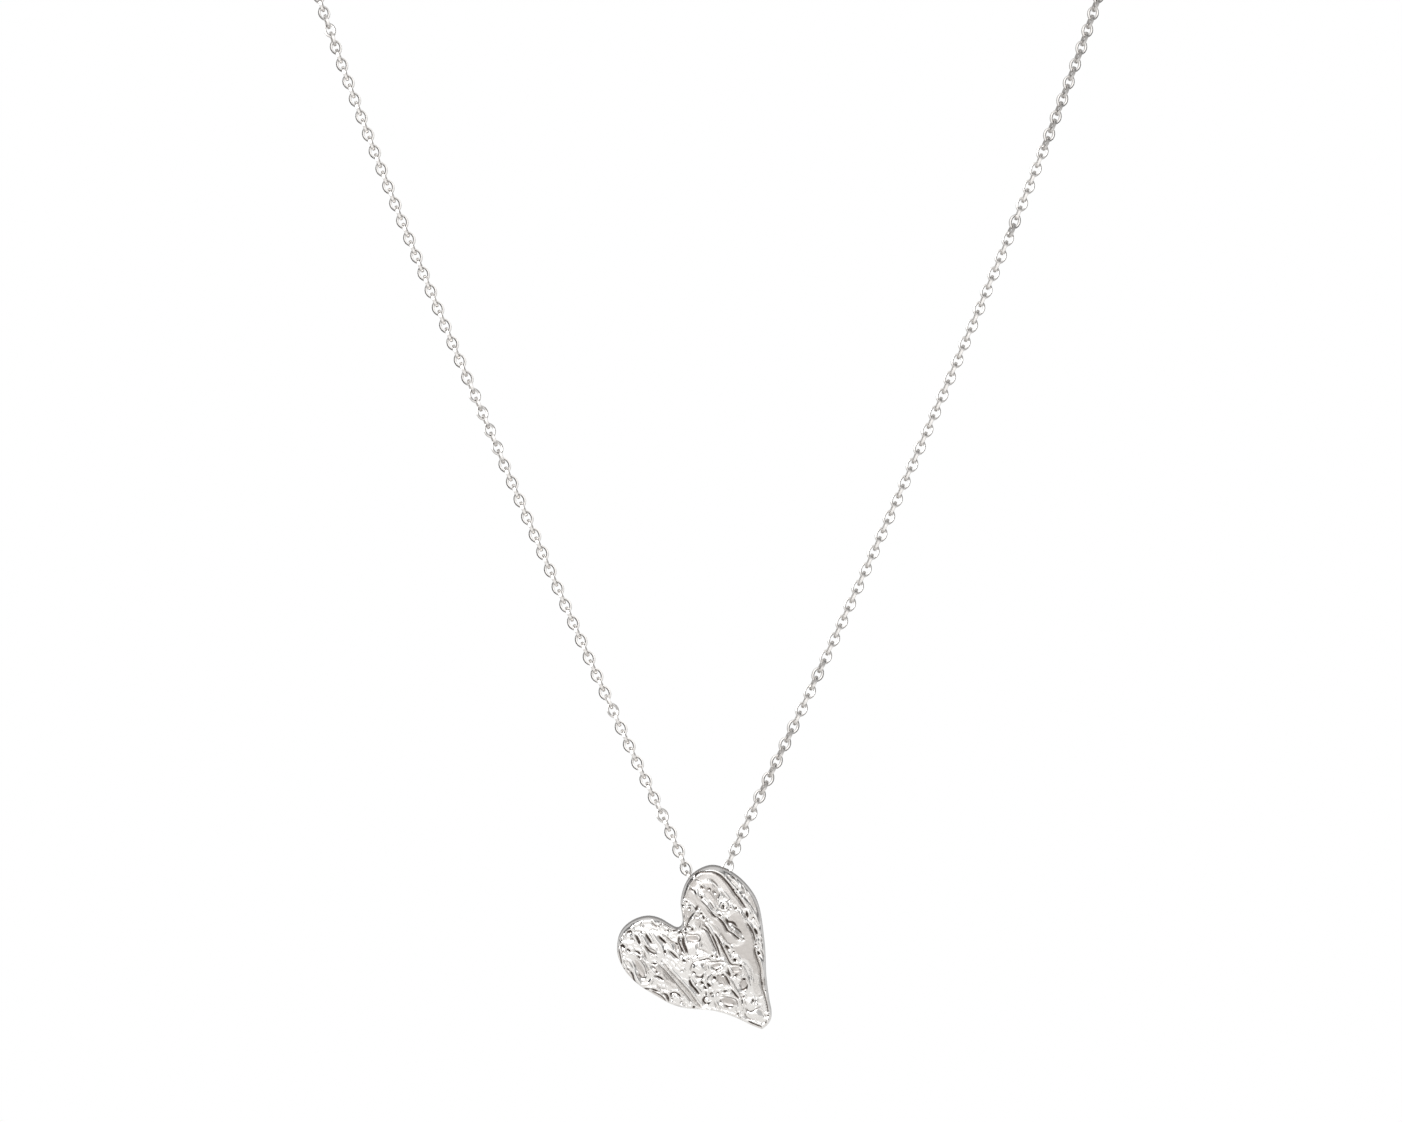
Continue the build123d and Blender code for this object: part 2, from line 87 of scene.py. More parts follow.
# Ridges and creases: height as a share of the relief, half width in squares, course.
Stroke = namedtuple("Stroke", "height reach course")
STROKES = [
    Stroke(0.8, 3, [(97, 69.5), (104, 67.6), (112, 67.3), (120, 70.5), (126, 75.8), (132, 82),
        (137, 88.5), (142, 95.5), (147, 101.5), (152, 108.5), (156, 115.5), (159.5, 122)]),
    Stroke(-0.9, 1.2, [(95.5, 76.5), (95.2, 73.5), (98, 71), (104, 70), (111, 69.7), (117, 71.2),
        (122, 74.5), (126, 79), (130, 84), (133, 88.5), (136, 93), (139.5, 97), (142, 101),
        (145.5, 105.5)]),
    Stroke(-0.7, 1, [(95.5, 76), (97, 78), (99.5, 79.3)]),
    Stroke(-0.9, 1.3, [(132.5, 86.5), (134, 89)]),
    Stroke(-0.9, 1.2, [(131, 72.8), (133.2, 75.2), (136, 77)]),
    Stroke(-0.4, 0.9, [(127, 73.5), (134, 81), (139, 87)]),
    Stroke(-1, 1.6, [(137.2, 87), (138, 88.2)]),
    Stroke(-0.5, 1.2, [(142, 83), (144, 90), (142.3, 95)]),
    Stroke(-0.5, 0.9, [(144, 98.5), (149, 104), (153, 110.5)]),
    Stroke(-0.8, 1, [(143, 103.3), (146, 106.5)]),
    Stroke(0.4, 1.6, [(146, 86), (152, 96), (155.5, 105)]),
    Stroke(-0.5, 1, [(93, 76.5), (90, 78.5), (88.2, 82), (87.8, 84)]),
    Stroke(-0.8, 1.1, [(90.3, 84.5), (91.3, 87), (94.5, 88.8), (96.8, 92.3)]),
    Stroke(0.6, 1.3, [(92, 86), (95, 87.2)]),
    Stroke(-0.35, 0.9, [(83.5, 94), (85, 96), (88.5, 95.5)]),
    Stroke(0.25, 1.2, [(83, 91), (86, 84), (88, 80)]),
    Stroke(1, 2.3, [(93.5, 87), (97, 92), (101, 98), (106, 103), (110, 107), (114, 111),
        (118, 114.5), (122, 117), (126, 122), (129, 127), (133, 130), (138, 134), (142.5, 136.5)]),
    Stroke(-0.9, 1.2, [(99.5, 97), (104.5, 101.8), (107.5, 105), (110.8, 109.3), (114.5, 113.8),
        (118, 115.7), (122, 119.3), (125, 123.8), (127, 128.3), (129.5, 130), (133.5, 132),
        (137.5, 136.3), (140.5, 138.3)]),
    Stroke(-0.8, 1, [(109, 99.5), (112, 103.5), (115, 107.8)]),
    Stroke(0.5, 1.3, [(104, 94), (109, 100), (113, 105), (116, 109)]),
    Stroke(-0.5, 0.9, [(103, 93.5), (107, 97), (109, 99.5)]),
    Stroke(-1.2, 1.4, [(101.4, 94.5), (102.2, 96)]),
    Stroke(-1, 1.1, [(118, 112.6), (121.5, 113.4)]),
    Stroke(-0.9, 1.1, [(132.6, 127.6), (133.3, 128.2)]),
    Stroke(-0.9, 1.1, [(100.5, 83.8), (103.8, 86.7)]),
    Stroke(-1.1, 1.5, [(109, 86.7), (110, 87)]),
    Stroke(0.6, 1.4, [(99, 81), (103, 83.5), (106, 86.5)]),
    Stroke(-0.6, 1, [(108.5, 76.8), (108.8, 78)]),
    Stroke(-0.7, 1, [(110, 76.7), (113.5, 79.5), (116.5, 82.5), (118.7, 85.5)]),
    Stroke(0.5, 1.1, [(112, 83.5), (117.5, 89.3)]),
    Stroke(-0.5, 0.9, [(113, 81.8), (115, 84.5), (117, 87)]),
    Stroke(-0.7, 1.1, [(113, 88.5), (116, 91.7)]),
    Stroke(-0.5, 1, [(120.3, 90), (118.5, 94), (116.5, 98.5)]),
    Stroke(-0.5, 0.9, [(120.5, 89), (124.5, 94), (127.5, 97.5)]),
    Stroke(0.4, 1.4, [(122, 88), (127, 93.5), (131, 99)]),
    Stroke(-0.7, 1.2, [(129.3, 97), (129.6, 98.8)]),
    Stroke(-0.3, 1.2, [(104, 84), (108, 90), (113, 95), (117, 101)]),
    Stroke(0.35, 1.3, [(112, 92), (115, 97)]),
    Stroke(-1.2, 1.3, [(122.7, 103), (124.5, 105.8)]),
    Stroke(0.7, 1.8, [(120.5, 102), (122.5, 99.8), (126, 100.5), (127.8, 104), (126, 108),
        (121.5, 107.5), (119.8, 104.5), (120.5, 102)]),
    Stroke(-0.9, 1.1, [(128.2, 107.8), (129, 108.3)]),
    Stroke(-0.9, 1.1, [(130.4, 105.3), (131, 106.6)]),
    Stroke(-1, 1.3, [(135.8, 106), (136.8, 106)]),
    Stroke(-0.9, 1.1, [(139, 109.6), (139.4, 110.4)]),
    Stroke(0.6, 1.6, [(131, 102.5), (134.5, 108), (138, 108.5)]),
    Stroke(-0.5, 1, [(117, 105), (120, 109.5), (125, 109.8)]),
    Stroke(0.8, 3.2, [(82.8, 98.5), (83.8, 101)]),
    Stroke(-1, 1.1, [(86.8, 99.4), (86.9, 100.4)]),
    Stroke(-0.7, 1, [(80.9, 102.2), (82.3, 103), (85, 104)]),
    Stroke(0.5, 1.5, [(86.5, 105.3), (87, 106)]),
    Stroke(-1.1, 1.3, [(89.3, 105.8), (90.3, 106.9)]),
    Stroke(0.8, 2, [(90.5, 101.5), (94, 107), (98.5, 112.8)]),
    Stroke(-0.9, 1.2, [(97.8, 103.5), (96.9, 106), (97.3, 109.3)]),
    Stroke(0.6, 1.4, [(99.3, 107), (100, 109)]),
    Stroke(-1.1, 1.6, [(100.5, 111.6), (102, 111.8)]),
    Stroke(-0.7, 1.1, [(95, 113.2), (97, 114.8), (99.3, 115.6)]),
    Stroke(-1, 1.2, [(103, 113.3), (104.5, 118)]),
    Stroke(0.7, 1.3, [(105.3, 114.5), (107, 118)]),
    Stroke(-0.9, 1.1, [(106.2, 119.2), (107, 119.8)]),
    Stroke(-0.7, 1.2, [(94.5, 109.8), (91.8, 113.3), (89.2, 117), (87.9, 121.5), (86.5, 125),
        (84, 128.5), (81, 130.5)]),
    Stroke(0.9, 2.4, [(92.4, 116.4), (93, 117.2)]),
    Stroke(0.8, 1.9, [(88.3, 121.6), (88.7, 122.6)]),
    Stroke(-0.9, 1.1, [(86.7, 125), (90.5, 125.2)]),
    Stroke(0.7, 2.6, [(87, 127.8), (91, 128.8)]),
    Stroke(-0.9, 1.2, [(92.3, 125.5), (93, 130)]),
    Stroke(-0.9, 1.1, [(84, 131), (87.5, 131.3)]),
    Stroke(0.6, 1.3, [(82.5, 133.5), (86, 132.8)]),
    Stroke(-1.2, 1.7, [(79.3, 130), (82, 131.6)]),
    Stroke(-0.25, 1.3, [(97, 117), (100, 121), (98, 127)]),
    Stroke(-0.25, 1, [(101, 117), (103, 122), (106, 121)]),
    Stroke(-0.6, 1, [(85.5, 131.5), (88.5, 132.8), (93, 133.3), (97.5, 133), (100, 136),
        (98.5, 139.3), (95.5, 140.8), (91, 140.5), (88, 139)]),
    Stroke(0.8, 1.5, [(102.8, 124.8), (106.5, 127.6), (109, 131)]),
    Stroke(-0.8, 1, [(101, 126), (107, 129.6), (110, 135), (112.5, 140.5), (115, 146),
        (117, 151)]),
    Stroke(-0.8, 1.1, [(103, 122.5), (106.5, 125.5), (109, 129), (112, 134.5)]),
    Stroke(-0.8, 1.4, [(111, 131.5), (113.5, 137), (116, 143), (118.2, 149), (120, 155.5)]),
    Stroke(1, 1.9, [(112.5, 130.5), (115, 135), (118, 140.5), (120.5, 146)]),
    Stroke(-0.8, 1.1, [(114, 131), (117, 135.5), (120, 139.5), (123, 144)]),
    Stroke(1, 2, [(120, 138), (124, 145), (128, 152), (131, 157.5), (135, 161), (141, 162.3)]),
    Stroke(-0.8, 1.1, [(119, 140.5), (123, 148), (127, 156), (129.5, 161), (132, 163.2),
        (136, 163.7), (140, 164.3)]),
    Stroke(0.7, 1.3, [(121, 134.5), (125, 139.5), (130, 144), (132.5, 147.5)]),
    Stroke(-1, 1.3, [(125, 143.3), (128, 146), (129.9, 148.2)]),
    Stroke(-0.5, 0.9, [(120, 130), (124, 136), (128, 141.3), (133, 143)]),
    Stroke(0.3, 1.5, [(110, 120), (116, 125), (120, 131)]),
    Stroke(-1.2, 1.6, [(140.4, 164), (141.2, 165)]),
    Stroke(-1, 1.2, [(133.5, 150), (134.1, 150.6)]),
    Stroke(0.6, 1.5, [(133.8, 155.6), (135.8, 156.2)]),
    Stroke(-1.2, 1.8, [(134.8, 158), (135.8, 159)]),
    Stroke(-0.6, 1, [(113.5, 146), (114.5, 151)]),
    Stroke(-1, 1.5, [(112, 154), (112.6, 155.4)]),
    Stroke(0.7, 1.2, [(114.6, 151.5), (115.6, 157.5)]),
    Stroke(-0.8, 1, [(117, 154), (117.8, 157)]),
    Stroke(0.7, 1.6, [(119, 157), (121, 158)]),
    Stroke(-1, 1.7, [(125.3, 116), (128, 119.8), (133, 121), (137, 125.5)]),
    Stroke(-0.7, 1.5, [(131.5, 122.5), (134, 125), (139.5, 129.5), (142.5, 134)]),
    Stroke(-0.9, 1.2, [(143.2, 136.8), (143.8, 137.4)]),
    Stroke(0.8, 2.2, [(133.5, 107), (138, 109.5), (141, 111.5), (144, 116), (146, 119.5)]),
    Stroke(-1.2, 1.5, [(146.5, 109), (147.3, 113), (148.2, 116.3)]),
    Stroke(-0.8, 1.4, [(153, 115.5), (153.6, 117)]),
    Stroke(-0.6, 1, [(150.5, 106.8), (152.3, 109.8)]),
    Stroke(0.7, 1.6, [(151, 110), (153.5, 113), (156.5, 118), (159, 124)]),
    Stroke(0.8, 1.6, [(146.5, 118.5), (150, 123), (153, 128.5), (156, 134)]),
    Stroke(-0.8, 1.1, [(146, 121), (149, 124), (152, 129), (154, 135), (155, 141)]),
    Stroke(-1, 1.3, [(153.8, 126), (156, 129.5), (157.6, 133.8)]),
    Stroke(0.5, 1.3, [(155.5, 121), (158.5, 127), (160.5, 132)]),
    Stroke(0.7, 2, [(157.3, 135.5), (157.6, 142)]),
    Stroke(-0.6, 1.1, [(161, 136), (161.8, 141.5)]),
    Stroke(-1, 1.3, [(155.3, 142.6), (156, 143.4)]),
    Stroke(0.8, 2.2, [(156.6, 145), (157.2, 148)]),
    Stroke(-1.1, 1.4, [(157.6, 150), (160.3, 153.3)]),
    Stroke(-0.6, 1.1, [(160.5, 147), (163, 153), (164.5, 156)]),
    Stroke(0.9, 2.3, [(156.3, 151.5), (160, 158), (162.5, 166), (163.2, 175)]),
    Stroke(-0.7, 1.1, [(154.6, 145), (155.2, 152), (157.3, 158.5), (159.8, 166.5),
        (160.5, 174.5), (161.2, 181.5), (162.5, 188), (165, 196), (167.2, 205), (168.2, 213.5)]),
    Stroke(-0.9, 1.7, [(161, 181.5), (162.3, 182.6)]),
    Stroke(0.7, 1.7, [(164.3, 187), (166.8, 194), (168.8, 203), (169.8, 211)]),
    Stroke(-0.8, 1.1, [(165.2, 188.8), (165.8, 190.6)]),
    Stroke(-0.4, 1.1, [(159, 194.8), (163, 195.5)]),
    Stroke(0.8, 1.7, [(141.8, 161.5), (144, 168), (146.3, 174), (148.5, 180), (150, 186.5)]),
    Stroke(-0.4, 1.2, [(150, 165), (151.5, 172), (150.5, 178)]),
    Stroke(0.3, 2, [(152, 176), (153, 184)]),
    Stroke(-0.9, 1.3, [(127.5, 166), (128.7, 170.5), (131, 176)]),
    Stroke(0.8, 1.7, [(130.5, 168.2), (132.8, 172)]),
    Stroke(-0.8, 1.2, [(133, 173.5), (134.5, 175), (137.5, 172.3)]),
    Stroke(0.7, 1.9, [(139.7, 173), (141.3, 178)]),
    Stroke(-1.3, 1.7, [(143.7, 177.6), (144.9, 178.8)]),
    Stroke(-0.9, 1.8, [(140, 187.3), (143, 188.8), (146.5, 186.5), (147.2, 183)]),
    Stroke(-0.5, 1.2, [(139, 182), (141.5, 181)]),
    Stroke(0.8, 1.8, [(107, 179.5), (111, 174), (116, 170.3), (121, 167.5), (125, 163)]),
    Stroke(1, 2.1, [(121, 169.5), (126, 172.5), (129, 177), (132, 182), (135, 187), (138, 192),
        (141, 197.5), (142.5, 203), (142.5, 211)]),
    Stroke(-0.9, 1.2, [(122.3, 173.6), (125.8, 176), (128, 180), (130.5, 185.3)]),
    Stroke(-1.3, 2.1, [(114, 175.5), (115.2, 177.8)]),
    Stroke(-0.8, 1.2, [(118, 173.8), (119, 174.2)]),
    Stroke(-1.2, 1.5, [(122, 173.5), (123.5, 174)]),
    Stroke(-0.7, 1.1, [(119, 182.4), (122.7, 183.3)]),
    Stroke(-0.5, 1.1, [(117.5, 178), (118.5, 181)]),
    Stroke(-1, 1.2, [(123.3, 190.2), (127.2, 190)]),
    Stroke(-1, 1.2, [(131, 188.5), (134, 191.7), (136.5, 195), (139, 198.3)]),
    Stroke(0.5, 1.3, [(121, 192.5), (128, 192.5), (133.5, 195.5)]),
    Stroke(-0.5, 1, [(121, 193.5), (125, 194.8)]),
    Stroke(-0.4, 0.9, [(132, 185), (137, 190.5), (141, 193), (143.5, 195.5)]),
    Stroke(-0.6, 1, [(120, 196), (126, 196.3), (132, 197.5), (136, 199.3), (137.5, 203),
        (138.5, 206)]),
    Stroke(-0.9, 1.1, [(124, 203.7), (128.5, 206), (133.5, 205.5)]),
    Stroke(-0.9, 1.3, [(120.3, 199.5), (121.3, 202)]),
    Stroke(0.6, 1.5, [(119.5, 203.5), (124, 206.5), (129, 208.5)]),
    Stroke(0.7, 4, [(114, 195.5), (115, 197)]),
    Stroke(-0.8, 1.1, [(113, 191.5), (111.2, 192.3), (110.7, 195.5)]),
    Stroke(-0.9, 1.3, [(117.5, 192), (118.5, 191.7)]),
    Stroke(0.6, 1.6, [(115.5, 199.5), (118, 204.5), (120, 208.5)]),
    Stroke(-0.5, 0.9, [(113.5, 200), (115.5, 204), (117.5, 208)]),
    Stroke(-1.1, 1.1, [(142.2, 197.8), (142, 203)]),
    Stroke(-0.9, 1.1, [(143, 197), (144.6, 194.6)]),
    Stroke(-0.8, 1.1, [(138.7, 212), (137, 215)]),
    Stroke(-0.6, 1.1, [(142.2, 210), (143.2, 210)]),
    Stroke(-0.6, 1, [(139.5, 216), (141, 218)]),
    Stroke(-0.4, 0.9, [(136, 206), (136, 211)]),
    Stroke(-0.9, 1.2, [(153.2, 197.8), (153, 202.5)]),
    Stroke(-0.8, 1, [(154, 200), (157.3, 200.3)]),
    Stroke(-0.7, 1, [(146, 207), (148.5, 210.5), (152.5, 210.5), (156, 208.5), (160, 206.8)]),
    Stroke(-0.5, 1, [(145, 200), (146, 204)]),
    Stroke(0.5, 2.4, [(149, 198.5), (149.5, 205), (152, 208)]),
    Stroke(0.6, 2, [(155.5, 203), (157.5, 204.5)]),
    Stroke(-0.4, 0.9, [(156, 208.5), (160.5, 210.3), (163.5, 214.3)]),
    Stroke(-0.6, 0.9, [(144.5, 211.5), (146.5, 216.5), (150.5, 218.7), (154.3, 219.7)]),
    Stroke(-1.2, 1.1, [(148.3, 220.6), (153, 223), (158, 225), (161, 226.3), (161.3, 227.6)]),
    Stroke(-0.9, 1.3, [(168, 214.5), (168.2, 216)]),
    Stroke(-0.6, 1.2, [(164.7, 215), (165.3, 215.2)]),
    Stroke(-1, 1.5, [(165.2, 222.4), (166.3, 221.6)]),
    Stroke(0.6, 1.7, [(163, 224.8), (168, 219.5)]),
    Stroke(-0.5, 1.2, [(157, 207.3), (160.8, 205.5)]),
    Stroke(-0.6, 0.9, [(91.2, 170), (90.8, 166.5), (92, 163), (95, 160.5), (99, 159.6)]),
    Stroke(-0.9, 1.2, [(98.5, 159.4), (103.5, 158.4), (108.5, 157.4), (111, 159.5)]),
    Stroke(-0.7, 1.1, [(109, 160), (114, 160.6), (121, 159.8), (125, 161)]),
    Stroke(0.8, 1.9, [(93, 158), (98, 155.5), (104, 154), (110, 155.3), (116, 157.6),
        (121, 157.8)]),
    Stroke(-0.5, 1.2, [(94.5, 154.6), (98, 153.4)]),
    Stroke(-0.8, 1.6, [(92.3, 170.3), (95.5, 172)]),
    Stroke(-0.9, 1.3, [(95.5, 174), (98, 175.8), (101.5, 176), (104, 172)]),
    Stroke(-0.4, 0.9, [(105.3, 170), (105.7, 166), (104, 162)]),
    Stroke(-0.6, 1, [(103, 161.8), (103.5, 165)]),
    Stroke(-0.7, 1, [(111, 164), (113, 167), (116, 168.4), (120, 166)]),
    Stroke(-0.5, 0.8, [(108.5, 178), (111, 173), (115, 169.5)]),
    Stroke(0.5, 1.6, [(107, 163), (108.5, 170)]),
    Stroke(-0.5, 1, [(97, 141), (97, 145), (100, 148), (104, 149.5), (107.5, 151.8)]),
    Stroke(-0.4, 0.9, [(99, 140.5), (101.5, 142.5), (100, 146)]),
    Stroke(-1.3, 1.2, [(82.6, 158.4), (86.2, 160)]),
    Stroke(-0.9, 1, [(88.6, 157.8), (89.4, 158.4)]),
    Stroke(-0.7, 1, [(80.5, 152), (82.5, 154.5)]),
    Stroke(-0.9, 1.1, [(79.3, 134.5), (79, 141), (81.5, 147), (84.5, 152.5)]),
    Stroke(-0.9, 1.2, [(83.4, 134), (84, 141), (86.2, 147), (88.3, 153)]),
    Stroke(0.9, 1.3, [(81.2, 136), (81.6, 142), (84, 148), (86.3, 153.5)]),
    Stroke(-1, 1.4, [(75, 141.5), (78.5, 143)]),
    Stroke(-0.9, 1.3, [(69, 149), (73, 152.5), (78.5, 158)]),
    Stroke(-0.2, 0.8, [(71, 158), (75, 162.5), (80, 168.5)]),
    Stroke(-0.2, 0.8, [(66, 155.5), (69, 159)]),
    Stroke(-0.7, 1.1, [(81, 169.2), (83.3, 169.3)]),
    Stroke(-1.1, 1.4, [(65, 148.7), (65, 152.3)]),
    Stroke(-1.3, 1.2, [(58.5, 134.2), (62, 137.5), (66.8, 142)]),
    Stroke(-0.6, 0.9, [(63, 132.5), (68, 136.8), (72, 140), (76.5, 142)]),
    Stroke(0.6, 2.4, [(61, 132), (67, 138), (71.5, 144), (73, 149)]),
    Stroke(0.6, 2.8, [(52.5, 132), (56, 138), (60, 143), (63, 149), (64, 156)]),
    Stroke(-1.2, 1.2, [(46, 132), (48.3, 136), (50.5, 139.5), (52.7, 142.3)]),
    Stroke(0.6, 2.2, [(41, 132), (44, 138), (49, 145), (55, 148)]),
    Stroke(-1, 1.1, [(35, 133), (37.5, 136), (39.3, 139.5), (41, 143)]),
    Stroke(-0.8, 1.1, [(31, 136), (34, 139)]),
    Stroke(0.4, 1.2, [(33, 133.5), (36, 138), (38, 142), (42, 148)]),
    Stroke(-1, 1.1, [(44.5, 143.3), (47, 146.5), (50, 150), (54, 152), (57, 151.8)]),
    Stroke(-0.6, 1.3, [(47.5, 146), (52, 147.5), (56, 150.5)]),
    Stroke(-0.7, 1.1, [(51, 153.3), (52, 154)]),
    Stroke(0.5, 1.5, [(50, 154.5), (55, 154.5), (57.5, 157)]),
    Stroke(-1, 1.3, [(34.5, 149), (38, 150.5), (41.5, 152.8)]),
    Stroke(-0.9, 1.1, [(37.5, 154.2), (41, 157.5)]),
    Stroke(-0.5, 0.9, [(41, 157.5), (45, 162), (48, 167), (50, 171.5)]),
    Stroke(0.6, 1.5, [(28, 151), (34, 153), (40, 158.5), (44, 163), (47, 169), (49, 175)]),
    Stroke(-0.6, 1.4, [(44, 149), (45, 154), (47, 159)]),
    Stroke(-1, 1.4, [(26.8, 147.3), (30.3, 149.8)]),
    Stroke(-1.2, 2, [(20.5, 144.3), (25, 145)]),
    Stroke(-0.8, 1, [(23, 142.3), (23.3, 144)]),
    Stroke(-1, 2.1, [(27, 131), (30.5, 130), (31.5, 131.5)]),
    Stroke(-0.5, 1, [(33, 129.3), (40, 129.8), (45, 129.5)]),
    Stroke(-0.8, 1.3, [(40.5, 131), (41.3, 131.5)]),
    Stroke(-0.5, 0.9, [(50, 129), (53, 127.5), (57, 129)]),
    Stroke(-0.6, 1, [(64.5, 128), (67, 129), (70, 127.3), (72, 129.5)]),
    Stroke(-1, 1.2, [(71, 130.3), (74, 129.2), (78, 128.6)]),
    Stroke(-0.7, 1, [(52, 118.3), (53, 122), (57, 124.7), (60.5, 124)]),
    Stroke(-0.9, 1.1, [(60.5, 124), (62, 121.8)]),
    Stroke(-0.5, 0.8, [(42.8, 118.5), (40.6, 122), (42, 124.8), (43.8, 122.3)]),
    Stroke(-0.7, 1.1, [(20.8, 138.3), (21.5, 138.6)]),
    Stroke(-0.6, 1, [(22.8, 134.5), (24.8, 135.8)]),
    Stroke(-0.7, 1.1, [(22.8, 150.2), (23.6, 151.2)]),
    Stroke(-0.6, 1, [(22.8, 154.5), (24.3, 155)]),
    Stroke(-0.8, 1.1, [(18.6, 147), (19.8, 152.5), (21, 158.5), (21.7, 164.3)]),
    Stroke(-0.9, 1.4, [(22, 167), (25, 167.5)]),
    Stroke(-0.7, 1, [(26, 166), (29, 169), (31, 171)]),
    Stroke(0.9, 3.2, [(34, 168), (35, 173), (38.5, 179.5), (43.5, 182.8), (48.5, 182),
        (52, 177.5)]),
    Stroke(0.7, 1.9, [(22, 156), (27.5, 160), (31.5, 165.5), (34, 170)]),
    Stroke(-0.5, 0.9, [(24, 158.5), (29.5, 161.3), (32.2, 165), (33.4, 168)]),
    Stroke(-0.6, 0.9, [(34.3, 161.8), (36.6, 167)]),
    Stroke(-1, 1.4, [(30, 169.5), (32.5, 173.5), (34, 178.5), (37, 183.5), (41, 187),
        (46, 187.9), (51, 188)]),
    Stroke(-1, 1.5, [(50.5, 187.8), (54, 189), (59.5, 191.2)]),
    Stroke(-0.7, 1.1, [(38.5, 171), (40, 174.5), (43, 177), (47, 174.6)]),
    Stroke(-0.7, 0.9, [(39.5, 157.8), (44, 164), (46, 169.5), (46.4, 174.5)]),
    Stroke(-0.7, 1.1, [(42, 180.8), (42.8, 181.2)]),
    Stroke(-0.4, 0.9, [(45, 181), (47.5, 180.3)]),
    Stroke(-0.3, 0.9, [(51.5, 176), (53, 179.5), (50, 184)]),
    Stroke(-1, 1.1, [(51.5, 161.8), (57.2, 162.7)]),
    Stroke(-0.7, 1.2, [(51, 164), (54, 166.5), (56, 168.5)]),
    Stroke(-1, 1.2, [(56.7, 170), (57.2, 171.3)]),
    Stroke(-1.3, 1.3, [(54.3, 174.8), (58.8, 175.7), (63.8, 179.2)]),
    Stroke(0.5, 1.8, [(51, 168), (54, 172), (60, 172.5)]),
    Stroke(-0.5, 2.4, [(60, 166), (66, 173), (73, 181), (78, 186)]),
    Stroke(-0.5, 1, [(62, 171), (66, 176), (70, 181)]),
    Stroke(0.9, 1.6, [(60, 161), (63, 164.5), (67, 169), (73, 176), (80, 184.5), (86, 191.5),
        (91, 198), (95, 203.5), (99, 207.2), (105, 208.4), (111, 208.6)]),
    Stroke(-0.6, 0.9, [(64, 161.5), (69, 168.5), (76, 176), (83, 184), (90, 192), (95, 199),
        (99.5, 204.8), (103, 206.3)]),
    Stroke(-0.6, 1, [(58, 162.5), (62, 167), (68, 173.5), (75, 181.5), (81, 188.5), (87, 195.5),
        (93, 202.5)]),
    Stroke(-0.35, 0.9, [(62, 158), (61, 161.5), (64, 165)]),
    Stroke(0.4, 1.6, [(70, 166), (77, 174), (85, 183), (92, 191), (97, 198)]),
    Stroke(-1.2, 1.1, [(89.8, 178), (91, 182.5), (93.5, 186), (96.5, 189.5), (99.7, 193.8)]),
    Stroke(0.6, 1.3, [(92.5, 179), (95, 184), (98.5, 188), (102, 192)]),
    Stroke(-0.7, 1.1, [(95.8, 182), (97, 183.3)]),
    Stroke(-1.2, 1.5, [(101.3, 180.3), (103.5, 183.3)]),
    Stroke(-1.1, 1.2, [(103.8, 185), (107, 188.4)]),
    Stroke(-1.2, 1.3, [(107.6, 181.8), (110, 185), (112.2, 185)]),
    Stroke(-0.7, 1.2, [(106, 189.5), (106, 196)]),
    Stroke(-1, 1.1, [(108.5, 196.3), (105.5, 196), (103.5, 198.5), (104, 201), (106.5, 202.8),
        (110.5, 201.3)]),
    Stroke(0.6, 1.5, [(106.5, 199), (109, 199.6)]),
    Stroke(-1.1, 1.8, [(93, 207), (94.5, 206)]),
    Stroke(-0.4, 1, [(89, 178), (90, 174.5)]),
    Stroke(-0.9, 1.1, [(71, 197), (71, 193), (74.5, 191.5), (78.5, 193.3), (81.5, 196.8)]),
    Stroke(-0.9, 1.1, [(72, 197.4), (72.4, 198.4)]),
    Stroke(-0.8, 1.1, [(80.8, 200.4), (82, 201.2)]),
    Stroke(-0.4, 0.9, [(82, 201.2), (88, 206.5)]),
    Stroke(-0.8, 1.1, [(51, 189.8), (56, 192.3), (61, 195.2), (64.3, 198.3), (66.3, 201.2)]),
    Stroke(-0.9, 1.2, [(62, 192.3), (66.3, 193.8), (68.3, 197), (68.6, 201.8)]),
    Stroke(-0.5, 0.9, [(57, 183), (60, 187), (68, 189)]),
    Stroke(0.3, 2.2, [(60, 184), (67, 186.5)]),
    Stroke(-0.9, 1, [(112, 210.8), (117, 212)]),
    Stroke(-0.9, 1.1, [(123, 213.2), (127.5, 215)]),
    Stroke(-0.4, 0.9, [(66, 202.5), (74, 204.5), (84, 206.8)]),
]

# Mounds and hollows: middle, half length and half width in squares, the turn of the long
# side in degrees and the height as a share of the relief.
Mound = namedtuple("Mound", "column row half_length half_width turn height")
MOUNDS = [
    Mound(98.3, 167, 7.0, 7.2, 0, 0.7),
    Mound(128, 200.8, 9.0, 4.6, 10, -0.6),
    Mound(39.3, 165.5, 12.0, 5.0, 57, -0.6),
    Mound(93.2, 136.6, 7.5, 3.9, 0, -0.35),
    Mound(90.5, 147, 6.5, 7.5, 30, 0.25),
    Mound(143.3, 184.3, 6.5, 4.6, 75, -0.7),
    Mound(121, 179, 7.0, 5.0, 60, -0.4),
    Mound(151, 203.5, 8.0, 6.0, 90, 0.4),
    Mound(155, 214.6, 9.5, 5.2, 12, 0.6),
    Mound(76.5, 199.5, 6.0, 6.5, 20, 0.5),
    Mound(77, 146, 5.0, 2.6, 80, -0.7),
    Mound(117, 164.6, 5.0, 2.8, -10, -0.4),
    Mound(51.5, 149, 6.5, 2.6, 30, -0.3),
    Mound(87, 112, 5.0, 4.0, 45, -0.3),
    Mound(136, 168, 5.5, 3.5, 0, -0.4),
    Mound(69, 176, 9.0, 2.6, 50, -0.3),
]

